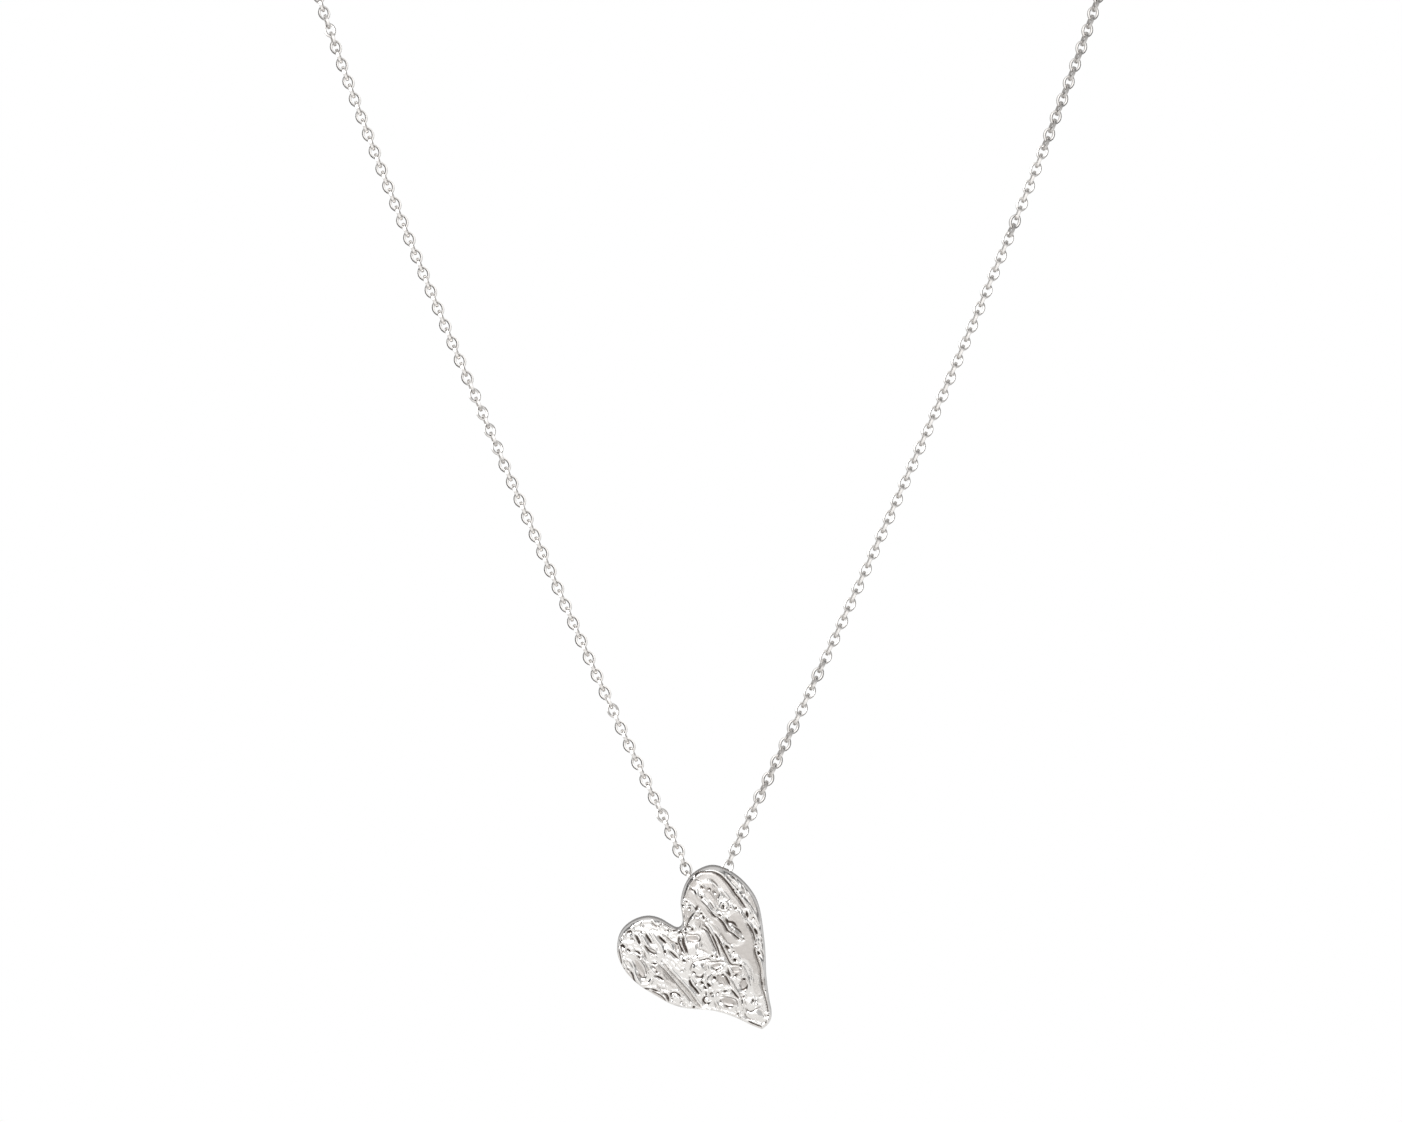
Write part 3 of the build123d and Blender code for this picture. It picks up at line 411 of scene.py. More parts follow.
# Satin plates that the polish didn't reach, some of them hollows and a bevel greyed with painted
# shade: how grey, how coarse the skin is, and the plate's outline in squares.
Plate = namedtuple("Plate", "grey grain outline")
PLATES = [
    # Long channel inside the top edge of the upper lobe.
    Plate(0.8, 0.1, [(97, 73), (104, 71.2), (112, 71), (118, 72.5), (123.5, 76.5), (128.5, 82.5),
        (132.5, 89), (136, 94.5), (141, 100.5), (144.5, 106.5), (139, 105.5), (133.5, 101.5),
        (129.5, 95), (124, 89), (119.5, 84), (114.5, 79.5), (108, 76), (99.5, 78.5)]),
    Plate(0.9, 0.3, [(88.5, 82), (90.5, 78.5), (94, 77.5), (97.5, 80), (96, 84), (92.5, 85.5)]),
    # Band on the left of the main ridge.
    Plate(0.75, 0.1, [(85, 88), (89.5, 86.5), (93, 91), (98, 96.5), (103, 101.5), (108, 107),
        (113, 112.5), (117, 117.5), (112, 119), (107.5, 115.5), (103, 111), (98, 106), (93, 101.5),
        (88, 98.5), (83.5, 96.5), (83, 92)]),
    Plate(0.8, 0.2, [(84, 108), (89, 108.5), (92.5, 110.5), (89.5, 115), (86.5, 120), (84, 120),
        (83, 113)]),
    Plate(0.7, 0.9, [(100, 80.5), (105, 81.5), (111, 81), (117, 86), (119.5, 91), (117, 98.5),
        (119.5, 104.5), (114, 102), (107.5, 95.5), (102.5, 89.5)]),
    Plate(0.6, 0.9, [(95, 116.5), (100, 117.5), (106, 121), (103.5, 125.5), (98.5, 127),
        (95.5, 123)]),
    # Rounded plate under the main ridge, and the long band that runs down the right side.
    Plate(0.75, 0.1, [(114, 118), (118.5, 118.5), (122.5, 121.5), (125.5, 127), (129, 131.5),
        (134, 135.5), (139, 138.5), (136.5, 142), (131, 142.5), (125.5, 139.5), (120.5, 135),
        (115.5, 129.5), (111.5, 123)]),
    Plate(0.85, 0.2, [(128.5, 115), (134, 110.5), (139, 112), (143, 117.5), (146, 124.5),
        (150.5, 130), (153.5, 137), (154, 146), (156, 155), (158.5, 164), (159.5, 174),
        (154, 172), (151, 165), (147, 158.5), (141, 156.5), (136, 151), (131.5, 146),
        (138, 144.5), (145, 140.5), (143, 134), (138, 128.5), (133, 123), (129, 119)]),
    Plate(0.5, 0.1, [(153, 172), (159.5, 176), (161, 185), (163, 195.5), (157, 196), (153.5, 190),
        (151.5, 181)]),
    # Plates of the middle and of the lower half.
    Plate(0.45, 0.1, [(101.5, 129), (106, 131.5), (109.5, 137), (112, 144), (113.5, 150.5),
        (108, 152.5), (103, 149.5), (100, 145.5), (98, 141), (101, 136)]),
    Plate(1.0, 0.3, [(86, 135), (90, 133.3), (96, 133.7), (99, 136.3), (97.5, 139), (92.5, 140),
        (87.5, 138.5)]),
    Plate(0.9, 0.1, [(111, 161.5), (116, 161.7), (122, 161), (119.5, 165.5), (115.5, 167.3),
        (112, 165)]),
    Plate(1.0, 0.3, [(120.5, 198.5), (126, 196.8), (132, 198.3), (136.5, 201.5), (136, 204.7),
        (130, 204.8), (123.5, 202.7)]),
    Plate(1.0, 1.0, [(117, 174.5), (122, 174.5), (126, 178), (128, 183), (124, 184.5),
        (118.5, 182), (115.5, 178.5)]),
    Plate(1.0, 1.0, [(141.5, 178.5), (146, 179.5), (147.5, 184), (146, 189), (142, 189),
        (139.5, 184)]),
    Plate(0.8, 1.0, [(131, 165), (137, 165), (142, 167.5), (142, 172.5), (137, 175.5),
        (132.5, 171)]),
    # Hollows and valleys of the left lobe, and the bevel along its lower edge, greyed with painted
    # shade.
    Plate(0.95, 0.5, [(34.5, 158.5), (38.5, 160.5), (42.5, 166), (45.5, 173), (43.5, 176.3),
        (40, 174), (36.5, 167)]),
    Plate(0.6, 0.5, [(57, 164), (62, 168), (68, 174.5), (74, 182), (79, 188.5), (72, 187),
        (65, 181.5), (59, 174), (52.5, 168)]),
    Plate(0.8, 0.1, [(74.5, 143), (78, 144), (81, 149), (84, 155), (79, 152.5), (75, 148)]),
    Plate(0.85, 0.2, [(46.5, 146.5), (52, 148.3), (56.5, 150), (55, 152.3), (50.5, 151)]),
    Plate(0.7, 0.2, [(23, 168.5), (28, 170.5), (31.5, 177), (38, 184), (47, 189.3), (55, 191.8),
        (62, 196.5), (61, 197.5), (52, 192.3), (41.5, 185.5), (32, 177.5)]),
    Plate(0.8, 0.3, [(160.5, 178), (164.5, 176.5), (165.5, 184), (163, 186.5)]),
    Plate(0.6, 0.6, [(151.5, 92.5), (155, 99), (158, 107.5), (160.5, 119), (158, 121),
        (154.5, 112), (150, 103), (147.5, 95)]),
]

# Route of the chain: each strand from the bail up to the shoulder and round the neck.
RoutePoint = namedtuple("RoutePoint", "x_left x_right y z")
CHAIN_ROUTE = [
    RoutePoint(-3.45, 2.90, -54.1, -127.3),
    RoutePoint(-6.15, 5.65, -52.6, -121.6),
    RoutePoint(-10.45, 10.05, -50.5, -112.7),
    RoutePoint(-17.10, 16.85, -47.0, -98.2),
    RoutePoint(-25.06, 25.06, -42.8, -80.0),
    RoutePoint(-33.00, 33.05, -38.5, -61.6),
    RoutePoint(-40.62, 40.68, -34.3, -43.1),
    RoutePoint(-47.62, 47.70, -30.0, -24.4),
    RoutePoint(-50.60, 50.60, -25.0, -14.0),
    RoutePoint(-51.40, 51.40, -14.0, -7.6),
    RoutePoint(-49.90, 49.90, -0.5, -4.2),
    RoutePoint(-45.60, 45.60, 13.2, -2.2),
    RoutePoint(-37.90, 37.90, 26.0, -1.0),
    RoutePoint(-26.80, 26.80, 36.2, -0.3),
    RoutePoint(-13.60, 13.60, 42.9, 0.0),
]
BAIL_BEND = 1.70            # half of the run through the bail
BAIL_LIFT = (0.05, 0.15)    # how far the chain's two sides lie above the middle of the bore
CHAIN_END = 6.245           # where the route ends beside the clasp
EYE_PLACE = 5.465           # middle of the eye that ends the chain
NAPE_DEPTH = 44.3

# Stretches of the strands where the links hang turned: side, lowest and highest level in
# millimetres, and the turn in degrees.
Twist = namedtuple("Twist", "side low high turn")
TWISTS = [
    Twist(1, -42.0, -20.0, 14),
    Twist(1, -52.5, -50.5, 15),
    Twist(1, -107.0, -105.0, 12),
    Twist(1, -121.0, -112.0, 10),
    Twist(-1, -79.7, -70.0, 14),
    Twist(-1, -28.5, -25.5, 15),
    Twist(-1, -111.5, -108.5, 12),
    Twist(-1, -123.5, -121.0, 14),
]


def linear(hex_colour):
    """An sRGB hex colour as linear red, green and blue."""
    shares = [int(hex_colour[place:place + 2], 16) / 255 for place in (1, 3, 5)]
    return tuple(s / 12.92 if s <= 0.04045 else ((s + 0.055) / 1.055) ** 2.4 for s in shares)


def length(name, description, millimetres):
    """A length property that is given in millimetres and kept in metres."""
    return FloatProperty(
        name=name, description=description, default=millimetres * MM, unit="LENGTH",
        precision=5,
    )


def colour(name, description, hex_colour):
    """A colour property with an sRGB hex default."""
    return FloatVectorProperty(
        name=name, description=description, default=linear(hex_colour), size=3,
        subtype="COLOR", min=0.0, max=1.0,
    )


class PendantHeart(bpy.types.PropertyGroup):
    """Sizes of the cast heart."""

    height: length("Height", "Height of the plate before it is hung", 20.45)
    edge: length("Edge", "Upright wall round the edge", 0.60)
    body: length("Body", "Plate thickness inside the rounded edge", 1.25)
    dome: length("Dome", "How far the middle stands proud of the rim", 0.30)
    dome_reach: length("Dome reach", "How far from the edge the dome levels out", 2.25)
    edge_round: length("Edge round", "Width of the rounded edge", 0.40)
    rim_height: length("Rim height", "Bead that runs round the face", 0.06)
    rim_width: length("Rim width", "Half width of that bead", 0.30)
    relief_edge: length("Relief edge", "How near the edge the relief reaches its height", 0.25)
    relief: length("Relief", "Height of the tallest cast ridge", 0.30)
    crumple: FloatProperty(
        name="Crumple", description="Depth of the fine crumpling, as a share of the relief",
        default=0.10, min=0.0, max=1.0,
    )
    cell: length("Cell", "Size of the facets of the cast face", 0.066)
    back_bevel: length("Back bevel", "Softened edge of the flat back", 0.08)
    bail_drop: length("Bail drop", "From the top of the heart to the bail's bore", 3.08)
    tilt: FloatProperty(
        name="Tilt", description="How far the tip hangs back", default=math.radians(14.5),
        subtype="ANGLE",
    )
    bail_bore: length("Bail bore", "Bore of the bail", 2.20)
    bail_wall: length("Bail wall", "Wall of the bail", 0.40)
    bail_length: length("Bail length", "Length of the bail's tube", 1.40)
    bail_seat: length("Bail seat", "Metal between the bore and the plate", 0.05)
    bore_lip: length("Bore lip", "Rounding of the bore's mouths", 0.15)


class PendantChain(bpy.types.PropertyGroup):
    """Sizes of the cable chain."""

    wire: length("Wire", "Thickness of the links' flattened wire, seen from the face", 0.28)
    breadth: length("Breadth", "Breadth of that wire, seen from the edge", 0.38)
    link_length: length("Link length", "Outer length of a link", 1.97)
    link_width: length("Link width", "Outer width of a link", 1.46)
    link_turn: FloatProperty(
        name="Link turn", description="Turn from one link to the next",
        default=math.radians(90), subtype="ANGLE",
    )
    roll: FloatProperty(
        name="Roll", description="Turn of the whole chain about its run",
        default=math.radians(5), subtype="ANGLE",
    )
    link_sides: IntProperty(
        name="Link sides", description="Corners round a link", default=16, min=10, max=16
    )
    wire_sides: IntProperty(
        name="Wire sides", description="Corners round the wire", default=6, min=5, max=6
    )
    eye_outer: length("Eye", "Outer diameter of the eye at each end", 1.96)
    eye_wire: length("Eye wire", "Wire of that eye", 0.40)


class PendantSilver(bpy.types.PropertyGroup):
    """Colours of the silver."""

    polished: colour("Polished", "Polished high places", "#FAF8F6")
    # The satin colour also serves as painted shade beside the creases and in the hollows.
    satin_and_shade: colour("Satin", "Plates that the polish didn't reach", "#D2CDC9")
    # This colour is the painted shade in the creases and along the edge.
    painted_shade_tone: colour("Recess", "Creases where the metal stays dark", "#645C57")
    wire: colour("Wire", "Drawn wire of the chain", "#D9D6D3")
    floor: colour("Floor", "Pale floor under the necklace", "#F4F3F1")


def add_node(tree, kind, settings=None, sockets=None):
    """Adds one node, sets its own settings, and links or sets its sockets."""
    node = tree.nodes.new(kind)
    for name, value in (settings or {}).items():
        setattr(node, name, value)
    for key, value in (sockets or {}).items():
        if isinstance(value, bpy.types.NodeSocket):
            tree.links.new(value, node.inputs[key])
        else:
            node.inputs[key].default_value = value
    return node


def chart_to_plate(points, sizes):
    """Places of chart points on the plate: x to the right and z up from the bail's bore."""
    points = np.asarray(points, float)
    across = (points[:, 0] - CHART_LEFT) / (CHART_RIGHT - CHART_LEFT)
    down = (points[:, 1] - CHART_TOP) / (CHART_BOTTOM - CHART_TOP)
    left = heart_low.x - bail_place.x
    width = heart_high.x - heart_low.x
    return np.column_stack([left + across * width, sizes.bail_drop - down * sizes.height])


def plate_to_chart(x, z, sizes):
    """Column and row of places on the plate."""
    left = heart_low.x - bail_place.x
    width = heart_high.x - heart_low.x
    columns = CHART_LEFT + (x - left) / width * (CHART_RIGHT - CHART_LEFT)
    rows = CHART_TOP + (sizes.bail_drop - z) / sizes.height * (CHART_BOTTOM - CHART_TOP)
    return columns, rows


def smooth_course(course, steps, closed=False, corner=None):
    """A smooth line through the points of a course, sharp only at its corner."""
    points = []
    count = len(course)
    spans = range(count) if closed else range(count - 1)
    for index in spans:
        start, end = course[index], course[(index + 1) % count]
        before = course[index - 1] if closed or index > 0 else start
        after = course[(index + 2) % count] if closed or index + 2 < count else end
        if start == corner:
            before = start
        if end == corner:
            after = end
        for step in range(steps):
            t = step / steps
            bend = [
                b + ((c - a) * t + (2 * a - 5 * b + 4 * c - d) * t**2
                     + (3 * b - a - 3 * c + d) * t**3) / 2
                for a, b, c, d in zip(before, start, end, after)
            ]
            points.append(tuple(bend))
    if not closed:
        points.append(course[-1])
    return points


def run_distance(x, y, start, end):
    """Distance of many points to one straight run, and how far along it each lies."""
    run_x, run_y = end[0] - start[0], end[1] - start[1]
    along = ((x - start[0]) * run_x + (y - start[1]) * run_y) / (run_x**2 + run_y**2)
    share = np.clip(along, 0.0, 1.0)
    distance = np.hypot(x - start[0] - share * run_x, y - start[1] - share * run_y)
    return distance, share


def edge_distance(x, y, outline):
    """Distance of many points to a closed outline, positive inside it."""
    nearest = np.full(x.shape, np.inf)
    inside = np.zeros(x.shape, bool)
    for start, end in zip(outline, outline[1:] + outline[:1]):
        nearest = np.minimum(nearest, run_distance(x, y, start, end)[0])
        if start[1] != end[1]:
            level = (start[1] > y) != (end[1] > y)
            crossing = start[0] + (y - start[1]) / (end[1] - start[1]) * (end[0] - start[0])
            inside ^= level & (x < crossing)
    return np.where(inside, nearest, -nearest)


def bump(distance):
    """Rounded rise from 0 at a distance of 1 to 1 in the middle."""
    return 0.5 + 0.5 * np.cos(np.pi * np.clip(distance, 0.0, 1.0))


COURSE_STEPS = 4
END_WIDTH = 0.45            # a stroke's width at its ends, as a share of its full width
END_REACH = 3.5             # how many half widths it takes to reach full width
GENTLE_SIDE = 1.6           # how much further a crease slopes up on its lower left side
CORE_REACH = 1.15           # how wide the painted shade in a crease is, in half widths
HALO_REACH = 2.6            # how far a crease's painted shade reaches, in half widths
HALO_SHADE = 0.75            # how grey that painted shade is
LIP_PLACE = 2.0             # where a crease's raised lip runs, in half widths
LIP_REACH = 1.5             # and how wide it is
LIP_HEIGHT = 0.40           # as a share of the crease's depth
CREASE_SLOPE = 1.4          # power by which a crease's sides steepen towards its floor
FAR_SHADE = 0.2             # what the painted shade on a crease's upper right has of its lower left's
PLATE_EDGE = 1.2            # squares over which a satin plate fades in
FLAT_GREY = 1.5             # the lips are gone where the grey is 1 / 1.5
CALM_GREY = 1.3             # and the crumpling is at its calmest where it is 1 / 1.3
CALM_SHARE = 0.85           # share of the crumpling that is then gone
VALLEY_SHADE = 0.5           # how grey the painted shade in the crumpling's own valleys is
POLISH_START = 0.15         # height, as a share of the relief, that the wheel just reaches
POLISH_GAIN = 2.0           # how fast the grey goes above it
ON_COURSE = 1e-6            # squares that keep the slant finite on the course itself
EDGE_SHADE_WIDTH = 0.9       # squares inside the edge that get a painted shade
EDGE_SHADE_DARK = 0.58      # and how dark that painted shade is


def stroke_level(stroke, columns, rows):
    """Share of a stroke's full height at many chart points, tapered to its ends, and the painted
    shade in a crease, the painted shade to its lower left and the lip to its upper right."""
    course = smooth_course(stroke.course, COURSE_STEPS)
    steps = [math.dist(a, b) for a, b in zip(course, course[1:])]
    total = sum(steps)
    taper = min(END_REACH * stroke.reach, 0.5 * total)
    best, core, halo, lip = np.zeros((4, *columns.shape))
    travelled = 0.0
    for start, end, step in zip(course, course[1:], steps):
        distance, share = run_distance(columns, rows, start, end)
        place = travelled + share * step
        from_end = np.clip(np.minimum(place, total - place) / taper, 0.0, 1.0)
        full = END_WIDTH + (1 - END_WIDTH) * np.sin(from_end * math.pi / 2)
        if stroke.height > 0:
            level = full * bump(distance / (stroke.reach * full))
        else:
            off_x = columns - start[0] - share * (end[0] - start[0])
            off_y = rows - start[1] - share * (end[1] - start[1])
            slant = (off_y - off_x) / (distance * math.sqrt(2) + ON_COURSE)
            lower_left, upper_right = np.clip(slant, 0.0, 1.0), np.clip(-slant, 0.0, 1.0)
            gentle = 1 + GENTLE_SIDE * lower_left
            aside = np.clip(distance / (stroke.reach * full * gentle), 0, 1)
            level = full * (1 - aside) ** CREASE_SLOPE
            # Painted shade greys the metal beside a crease, mostly to its lower left.
            shade = bump(distance / (HALO_REACH * stroke.reach * full))
            shade = shade * (FAR_SHADE + (1 - FAR_SHADE) * lower_left)
            halo = np.maximum(halo, full * shade)
            core = np.maximum(core, full * bump(distance / (CORE_REACH * stroke.reach * full)))
            from_lip = np.abs(distance / (stroke.reach * full) - LIP_PLACE) / LIP_REACH
            lip = np.maximum(lip, full * bump(from_lip) * upper_right)
        best = np.maximum(best, level)
        travelled += step
    return best, core, halo, lip


FLOW = math.radians(52)     # the way that the fine crumpling runs, down from the level
BEND_SEED, FOLD_SEED, SWELL_SEED = 7.3, 10.3, 27.3
BEND_SIZE = 9               # squares from one bend of the folds to the next
FOLD_LENGTH, FOLD_WIDTH = 13, 5.5
FOLD_SHARPNESS = 0.2        # how much of a fold's side slopes into its valley
SWELL_LENGTH, SWELL_WIDTH = 9, 4.2


def crumpling(columns, rows):
    """Fine wandering valleys of the crumpled skin and its soft swells, from about 0 to 1."""
    along = columns * math.cos(FLOW) + rows * math.sin(FLOW)
    across = rows * math.cos(FLOW) - columns * math.sin(FLOW)
    valley = np.empty(columns.shape)
    swell = np.empty(columns.shape)
    for index, (a, b) in enumerate(zip(along.tolist(), across.tolist())):
        bent = noise.noise((a / BEND_SIZE, b / BEND_SIZE, BEND_SEED))
        place = (a / FOLD_LENGTH + bent, b / FOLD_WIDTH + bent, FOLD_SEED)
        valley[index] = max(1 - abs(noise.noise(place)) / FOLD_SHARPNESS, 0)
        place = (a / SWELL_LENGTH + bent, b / SWELL_WIDTH, SWELL_SEED)
        swell[index] = 0.5 + noise.noise(place)
    return valley, swell


def read_chart(columns, rows, crumple):
    """Relief, the painted shade in the creases, the satin grey with its painted shade, and grain
    at many chart points.
    """
    high, low, grey, grain, dark, halo, lips = np.zeros((7, *columns.shape))
    for stroke in STROKES:
        across = [point[0] for point in stroke.course]
        down = [point[1] for point in stroke.course]
        margin = (1 + HALO_REACH) * stroke.reach
        near = (columns > min(across) - margin) & (columns < max(across) + margin)
        near &= (rows > min(down) - margin) & (rows < max(down) + margin)
        level, core, shade, lip = stroke_level(stroke, columns[near], rows[near])
        if stroke.height > 0:
            high[near] = np.maximum(high[near], stroke.height * level)
        else:
            low[near] = np.minimum(low[near], stroke.height * level)
            dark[near] = np.maximum(dark[near], -stroke.height * core)
            halo[near] = np.maximum(halo[near], -stroke.height * shade)
            lips[near] = np.maximum(lips[near], -stroke.height * LIP_HEIGHT * lip)
    for mound in MOUNDS:
        turn = math.radians(mound.turn)
        across, down = columns - mound.column, rows - mound.row
        long_way = (across * math.cos(turn) + down * math.sin(turn)) / mound.half_length
        short_way = (down * math.cos(turn) - across * math.sin(turn)) / mound.half_width
        level = mound.height * bump(np.hypot(long_way, short_way) ** 2)
        high = np.maximum(high, level)
        low = np.minimum(low, level)
    for plate in PLATES:
        inset = edge_distance(columns, rows, plate.outline)
        share = np.clip(inset / PLATE_EDGE + 0.5, 0.0, 1.0)
        grey = np.maximum(grey, plate.grey * share)
        grain = np.maximum(grain, plate.grain * share)
    # The satin plates lie flat right up to their creases.
    high = np.maximum(high, lips * (1 - np.clip(FLAT_GREY * grey, 0, 1)))
    valley, swell = crumpling(columns, rows)
    free = 1 - CALM_SHARE * np.clip(grey * CALM_GREY, 0, 1) * (1 - grain)
    relief = high + low + crumple * free * (swell - valley)
    # Painted shade greys the metal to the lower left of each crease and in the crumpling's
    # valleys.
    grey = np.maximum(grey, HALO_SHADE * np.clip(halo, 0, 1))
    grey = np.maximum(grey, VALLEY_SHADE * crumple * valley * free)
    # The wheel polishes what stands proud, and the painted shade keeps off the high places too.
    grey = grey * (1 - np.clip(POLISH_GAIN * (high - POLISH_START), 0, 1))
    return relief, dark, grey, grain


EDGE_STEPS = 18             # steps of the edge line from one point of the outline to the next
FACE_CLEARANCE = 0.6        # how near the edge line a facet's corner may lie, in facets
SAME_PLACE = 1e-9           # points of the face that lie nearer than this, in metres, are one


def heart_edge_line(sizes):
    """The heart's edge on the plate, in steps about as long as a facet."""
    line = smooth_course(HEART_OUTLINE, EDGE_STEPS, closed=True, corner=HEART_TIP)
    return [tuple(point) for point in chart_to_plate(line, sizes)]


def face_places(edge, sizes):
    """Places over the face in staggered rows a facet apart, clear of the edge, with insets."""
    row_step = sizes.cell * math.sqrt(3) / 2
    low_x, high_x = min(p[0] for p in edge), max(p[0] for p in edge)
    low_z, high_z = min(p[1] for p in edge), max(p[1] for p in edge)
    rows = np.arange(low_z, high_z, row_step)
    columns = np.arange(low_x, high_x, sizes.cell)
    x, z = np.meshgrid(columns, rows)
    x = x + (np.arange(len(rows)) % 2)[:, None] * sizes.cell / 2
    x, z = x.ravel(), z.ravel()
    inset = edge_distance(x, z, edge)
    clear = inset > FACE_CLEARANCE * sizes.cell
    return x[clear], z[clear], inset[clear]


def smooth_height(inset, sizes):
    """Thickness of the plate without its relief, from its flat back."""
    share = np.clip(inset / sizes.edge_round, 0.0, 1.0)
    height = sizes.edge + (sizes.body - sizes.edge) * np.sqrt(1 - (1 - share) ** 2)
    height += sizes.dome * (1 - np.exp(-((inset / sizes.dome_reach) ** 2)))
    return height + sizes.rim_height * bump(np.abs(inset - sizes.edge_round) / sizes.rim_width)


def chart_reading(x, z, height, sizes):
    """The chart read at many places on the face. It was drawn with the heart hung, where
    what stands proud of the edge is seen a little lower."""
    lowered = z - (height - sizes.edge) * math.tan(sizes.tilt)
    return read_chart(*plate_to_chart(x, lowered, sizes), sizes.crumple)


def face_height(x, z, inset, sizes):
    """Thickness of the plate at many places on it, from its flat back."""
    height = smooth_height(inset, sizes)
    share = np.clip(inset / sizes.relief_edge, 0.0, 1.0)
    return height + sizes.relief * share * chart_reading(x, z, height, sizes)[0]


def inward(edge, distance):
    """The edge line moved inwards by a distance."""
    moved = []
    for before, point, after in zip(edge[-1:] + edge[:-1], edge, edge[1:] + edge[:1]):
        along = Vector(after) - Vector(before)
        side = Vector((-along.y, along.x)).normalized()
        moved.append((point[0] + side.x * distance, point[1] + side.y * distance))
    return moved


def back_depth(sizes):
    """Where the plate's flat back lies in front of the bail's bore, before it is hung."""
    return -(sizes.bail_bore / 2 + sizes.bail_seat)


def plate_mesh(sizes):
    """The cast plate before it is hung: flat back, edge wall and the charted face."""
    back = back_depth(sizes)
    edge = heart_edge_line(sizes)
    area = sum(a[0] * b[1] - b[0] * a[1] for a, b in zip(edge, edge[1:] + edge[:1]))
    if area < 0:
        edge.reverse()
    x, z, inset = face_places(edge, sizes)
    flat = [Vector(point) for point in edge] + [Vector(point) for point in zip(x, z)]
    loop = [(index, (index + 1) % len(edge)) for index in range(len(edge))]
    result = geometry.delaunay_2d_cdt(flat, loop, [], 1, SAME_PLACE)
    if len(result[0]) != len(flat):
        raise RuntimeError("the face lost or gained points while it was meshed")
    heights = [sizes.edge] * len(edge) + list(face_height(x, z, inset, sizes))
    places = [(point.x, back - height, point.y) for point, height in zip(flat, heights)]
    faces = [tuple(face) for face in result[2]]
    a, b, c = (flat[index] for index in faces[0])
    if (b - a).cross(c - a) < 0:
        faces = [tuple(reversed(face)) for face in faces]
    rings = [
        [(px, back - sizes.back_bevel, pz) for px, pz in edge],
        [(px, back, pz) for px, pz in inward(edge, sizes.back_bevel)],
    ]
    count = len(edge)
    front = list(range(count))
    for ring in rings:
        start = len(places)
        places.extend(ring)
        rear = list(range(start, start + count))
        for index in range(count):
            after = (index + 1) % count
            faces.append((front[after], front[index], rear[index], rear[after]))
        front = rear
    faces.append(tuple(reversed(front)))
    mesh = bpy.data.meshes.new("cast_heart")
    mesh.from_pydata(places, [], faces)
    mesh.validate()
    return mesh


BAIL_AROUND = 48            # corners round the bail's tube
LIP_STEPS = 4               # steps of a mouth's rounding
BAIL_CORNER = 0.1 * MM      # bevel of the tube's outer corners


def bail_mesh(sizes):
    """The bail's tube, its bore along X, turned from its rounded section."""
    inner = sizes.bail_bore / 2
    outer = inner + sizes.bail_wall
    half = sizes.bail_length / 2
    section = []
    for side in (-1, 1):
        for step in range(LIP_STEPS + 1):
            turn = math.radians(90 * step / LIP_STEPS)
            turn = turn if side > 0 else math.radians(90) - turn
            section.append((
                side * (half - sizes.bore_lip * (1 - math.sin(turn))),
                inner + sizes.bore_lip * (1 - math.cos(turn)),
            ))
    section += [(half, outer - BAIL_CORNER), (half - BAIL_CORNER, outer)]
    section += [(BAIL_CORNER - half, outer), (-half, outer - BAIL_CORNER)]
    places, faces = [], []
    for step in range(BAIL_AROUND):
        turn = 2 * math.pi * step / BAIL_AROUND
        places += [(x, r * math.sin(turn), r * math.cos(turn)) for x, r in section]
    count = len(section)
    for step in range(BAIL_AROUND):
        for index in range(count):
            here, there = step * count, (step + 1) % BAIL_AROUND * count
            after = (index + 1) % count
            faces.append((here + index, here + after, there + after, there + index))
    mesh = bpy.data.meshes.new("bail")
    mesh.from_pydata(places, [], faces)
    return mesh


def link_object(name, data):
    """A new object with this mesh, curve, light or camera, in the scene."""
    piece = bpy.data.objects.new(name, data)
    bpy.context.scene.collection.objects.link(piece)
    return piece


def settle(piece):
    """Applies a piece's modifiers to its mesh and frees the piece of them."""
    depsgraph = bpy.context.evaluated_depsgraph_get()
    mesh = bpy.data.meshes.new_from_object(piece.evaluated_get(depsgraph))
    piece.modifiers.clear()
    old, piece.data = piece.data, mesh
    mesh.name = piece.name
    bpy.data.meshes.remove(old)


WELD = 0.0001 * MM          # a mesh's corners nearer than this are one
SAME_LEVEL = 0.001 * MM     # how far off the back's own level its face may lie
BACK_MARGIN = 0.02          # the marks start this far in front of the back, in edge walls
PAST_EDGE = 0.5             # and reach this many squares past the edge


def outward(mesh):
    """Merges the doubles of a closed mesh and turns all its faces outwards."""
    work = bmesh.new()
    work.from_mesh(mesh)
    bmesh.ops.remove_doubles(work, verts=work.verts, dist=WELD)
    bmesh.ops.recalc_face_normals(work, faces=work.faces)
    work.to_mesh(mesh)
    work.free()


def flatten_back(mesh, sizes):
    """Shades the plain back of the plate as one flat face."""
    for face in mesh.polygons:
        if abs(face.center.y - back_depth(sizes)) < SAME_LEVEL:
            face.use_smooth = False


